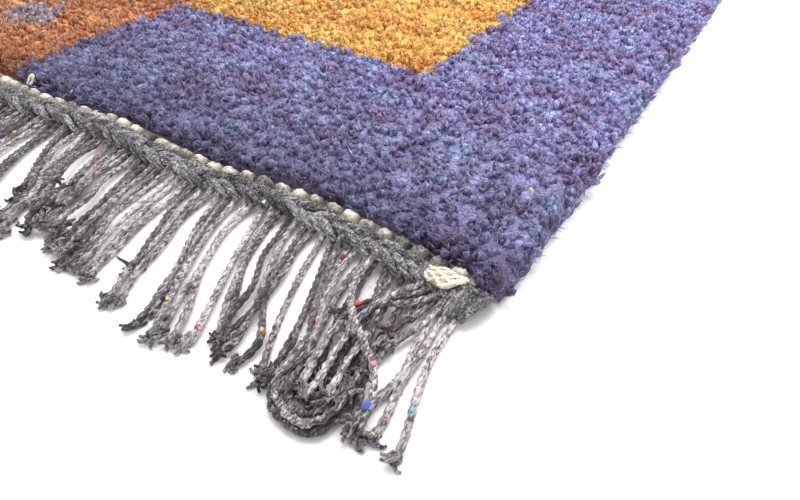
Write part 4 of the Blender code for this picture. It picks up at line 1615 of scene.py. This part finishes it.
# Small finds: a bit of straw in the pile, a loose red thread, and a loop of the cream picks
finds = {
    "straw": {"slot": "pile_purple", "node": "pile", "colour": (222, 192, 156), "thick": 1.7,
              "points": ((20.2, -55.4, 15.5), (21.4, -56.0, 17.2), (22.8, -56.8, 17.0))},
    "red_thread": {"slot": "fringe_yarn", "node": "fringe_front", "colour": (160, 100, 108), "thick": 0.45,
                   "points": ((250, 22, 9), (248, 30, 8), (240, 38, 7.5), (232, 43, 7.5), (229, 49, 7))},
    "cream_loop": {"slot": "end_row_cotton", "node": "end_row_front", "colour": (248, 240, 220),
                   "thick": 1.6,
                   "points": ((348, 4, 6), (347.4, 2.4, 11), (345.4, 0, 15.4), (344, -1, 16),
                              (344.2, 0.6, 12), (346, 4, 8))},
}
findYarn = {"plies": 2, "plyRadius": 0.00042, "plyOffset": 0.00030, "turnLength": 0.004,
            "ringSpacing": 0.0008, "sides": 5}


def makeFinds():
    end = ends["front"]
    made = []
    for name, find in finds.items():
        material, tree, shader = startMaterial(name.replace("_", " "), 0.9, 0.2)
        shader.inputs["Base Color"].default_value = srgb(*find["colour"])
        lines, values = [], {}
        addLine(lines, values, smoothLine(measuredPoints(end, find["points"]), 0.001),
                phase=0, spread=1, thick=find["thick"])
        piece = twist(name, lines, values, findYarn, material)
        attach(piece, "root")
        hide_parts(find["node"])
        made.append(piece)
    return made


findPieces = makeFinds()


# Darn: wavy cream threads over a thin patch, on the near corner
darn = {
    "plies": 2,
    "plyRadius": 0.00062,
    "plyOffset": 0.00040,
    "turnLength": 0.0042,
    "ringSpacing": 0.0007,
    "sides": 5,
    "threads": 5,
    "spacing": 0.0006,       # between a thread's points
    "lift": 0.0013,
    "wave": 0.0074,
    "swing": 0.0008,
    "heave": 0.0004,         # how far the threads wave up and down
    "patchInset": 0.0004,
    "patchLift": 0.0003,
    "patchThickness": 0.0008,
    "patchSteps": 12,
}
# distance from the side, and back and front as distances from the pile's edge
darnColumns = (
    (0.0380, 0.0150, 0.0176), (0.0362, 0.0134, 0.0195), (0.0335, 0.0112, 0.0205),
    (0.0310, 0.0100, 0.0208), (0.0285, 0.0086, 0.0208), (0.0262, 0.0072, 0.0204),
    (0.0240, 0.0056, 0.0196), (0.0222, 0.0044, 0.0172), (0.0206, 0.0038, 0.0140),
    (0.0192, 0.0048, 0.0112),
)
# heights of what the darn lies on, by the distance out from the pile's edge
darnSurface = ((0.0, 0.0068), (0.0066, 0.0070), (0.0094, 0.0106), (0.0120, 0.0117), (0.0185, 0.0116),
               (0.0205, 0.0102), (0.0230, 0.0078))


def surfaceHeight(out):
    outs, heights = zip(*darnSurface)
    return np.interp(out, outs, heights)


def makeDarn():
    end = ends["front"]
    chance = np.random.default_rng(51)
    lines, values = [], {}
    sides, backs, fronts = (np.array(column)[::-1] for column in zip(*darnColumns))
    for thread in range(darn["threads"]):
        # neighbouring threads swing towards and away from one another
        share = (thread + 0.5) / darn["threads"]
        side = np.arange(sides[0] + chance.uniform(0, 0.001), sides[-1] - chance.uniform(0, 0.002),
                         darn["spacing"])
        back, front = np.interp(side, sides, backs), np.interp(side, sides, fronts)
        swing = (1 if thread % 2 else -1) * darn["swing"]
        out = back + (front - back) * share
        out = out + swing * np.sin(2 * np.pi * side / darn["wave"] + chance.normal(0, 0.3))
        height = surfaceHeight(out) + darn["lift"]
        height = height + darn["heave"] * np.cos(2 * np.pi * side / darn["wave"] + thread * np.pi)
        addLine(lines, values, endPoints(end, side, out, height), tone=chance.uniform(0.3, 0.8),
                phase=chance.uniform(0, 1), thick=chance.uniform(0.95, 1.2), spread=1, aged=0)
    threads = twist("corner_darn_threads", lines, values, darn, materials["darn_thread"])
    patch = addObject("corner_darn_patch", makeDarnPatch(end))
    for piece in (threads, patch):
        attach(piece, "root")
        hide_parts("corner_darn")
    return threads, patch


def makeDarnPatch(end):
    # The closed patch under the threads: a sheet with a little thickness
    steps = np.linspace(0, 1, darn["patchSteps"])
    inset = darn["patchInset"]
    rows = []
    for side, back, front in darnColumns:
        out = back + inset + (front - back - 2 * inset) * steps
        rows.append(endPoints(end, side, out, surfaceHeight(out) + darn["patchLift"]))
    low = np.concatenate(rows)
    high = low + np.array([0.0, 0.0, darn["patchThickness"]])
    count = len(low)
    # its columns run towards the first corner, so the faces turn the other way
    faces = [face[::-1] for face in slabFaces(len(rows), len(steps))]
    mesh = bpy.data.meshes.new("corner_darn_patch")
    mesh.from_pydata(np.concatenate([low, high]).tolist(), [], faces)
    storeValues(mesh, {"tone": np.full(2 * count, 0.2), "aged": np.full(2 * count, 1.0)})
    mesh.materials.append(materials["darn_thread"])
    mesh.shade_smooth()
    return mesh


darnPieces = makeDarn()
print("darn ready")


print("scene ready")
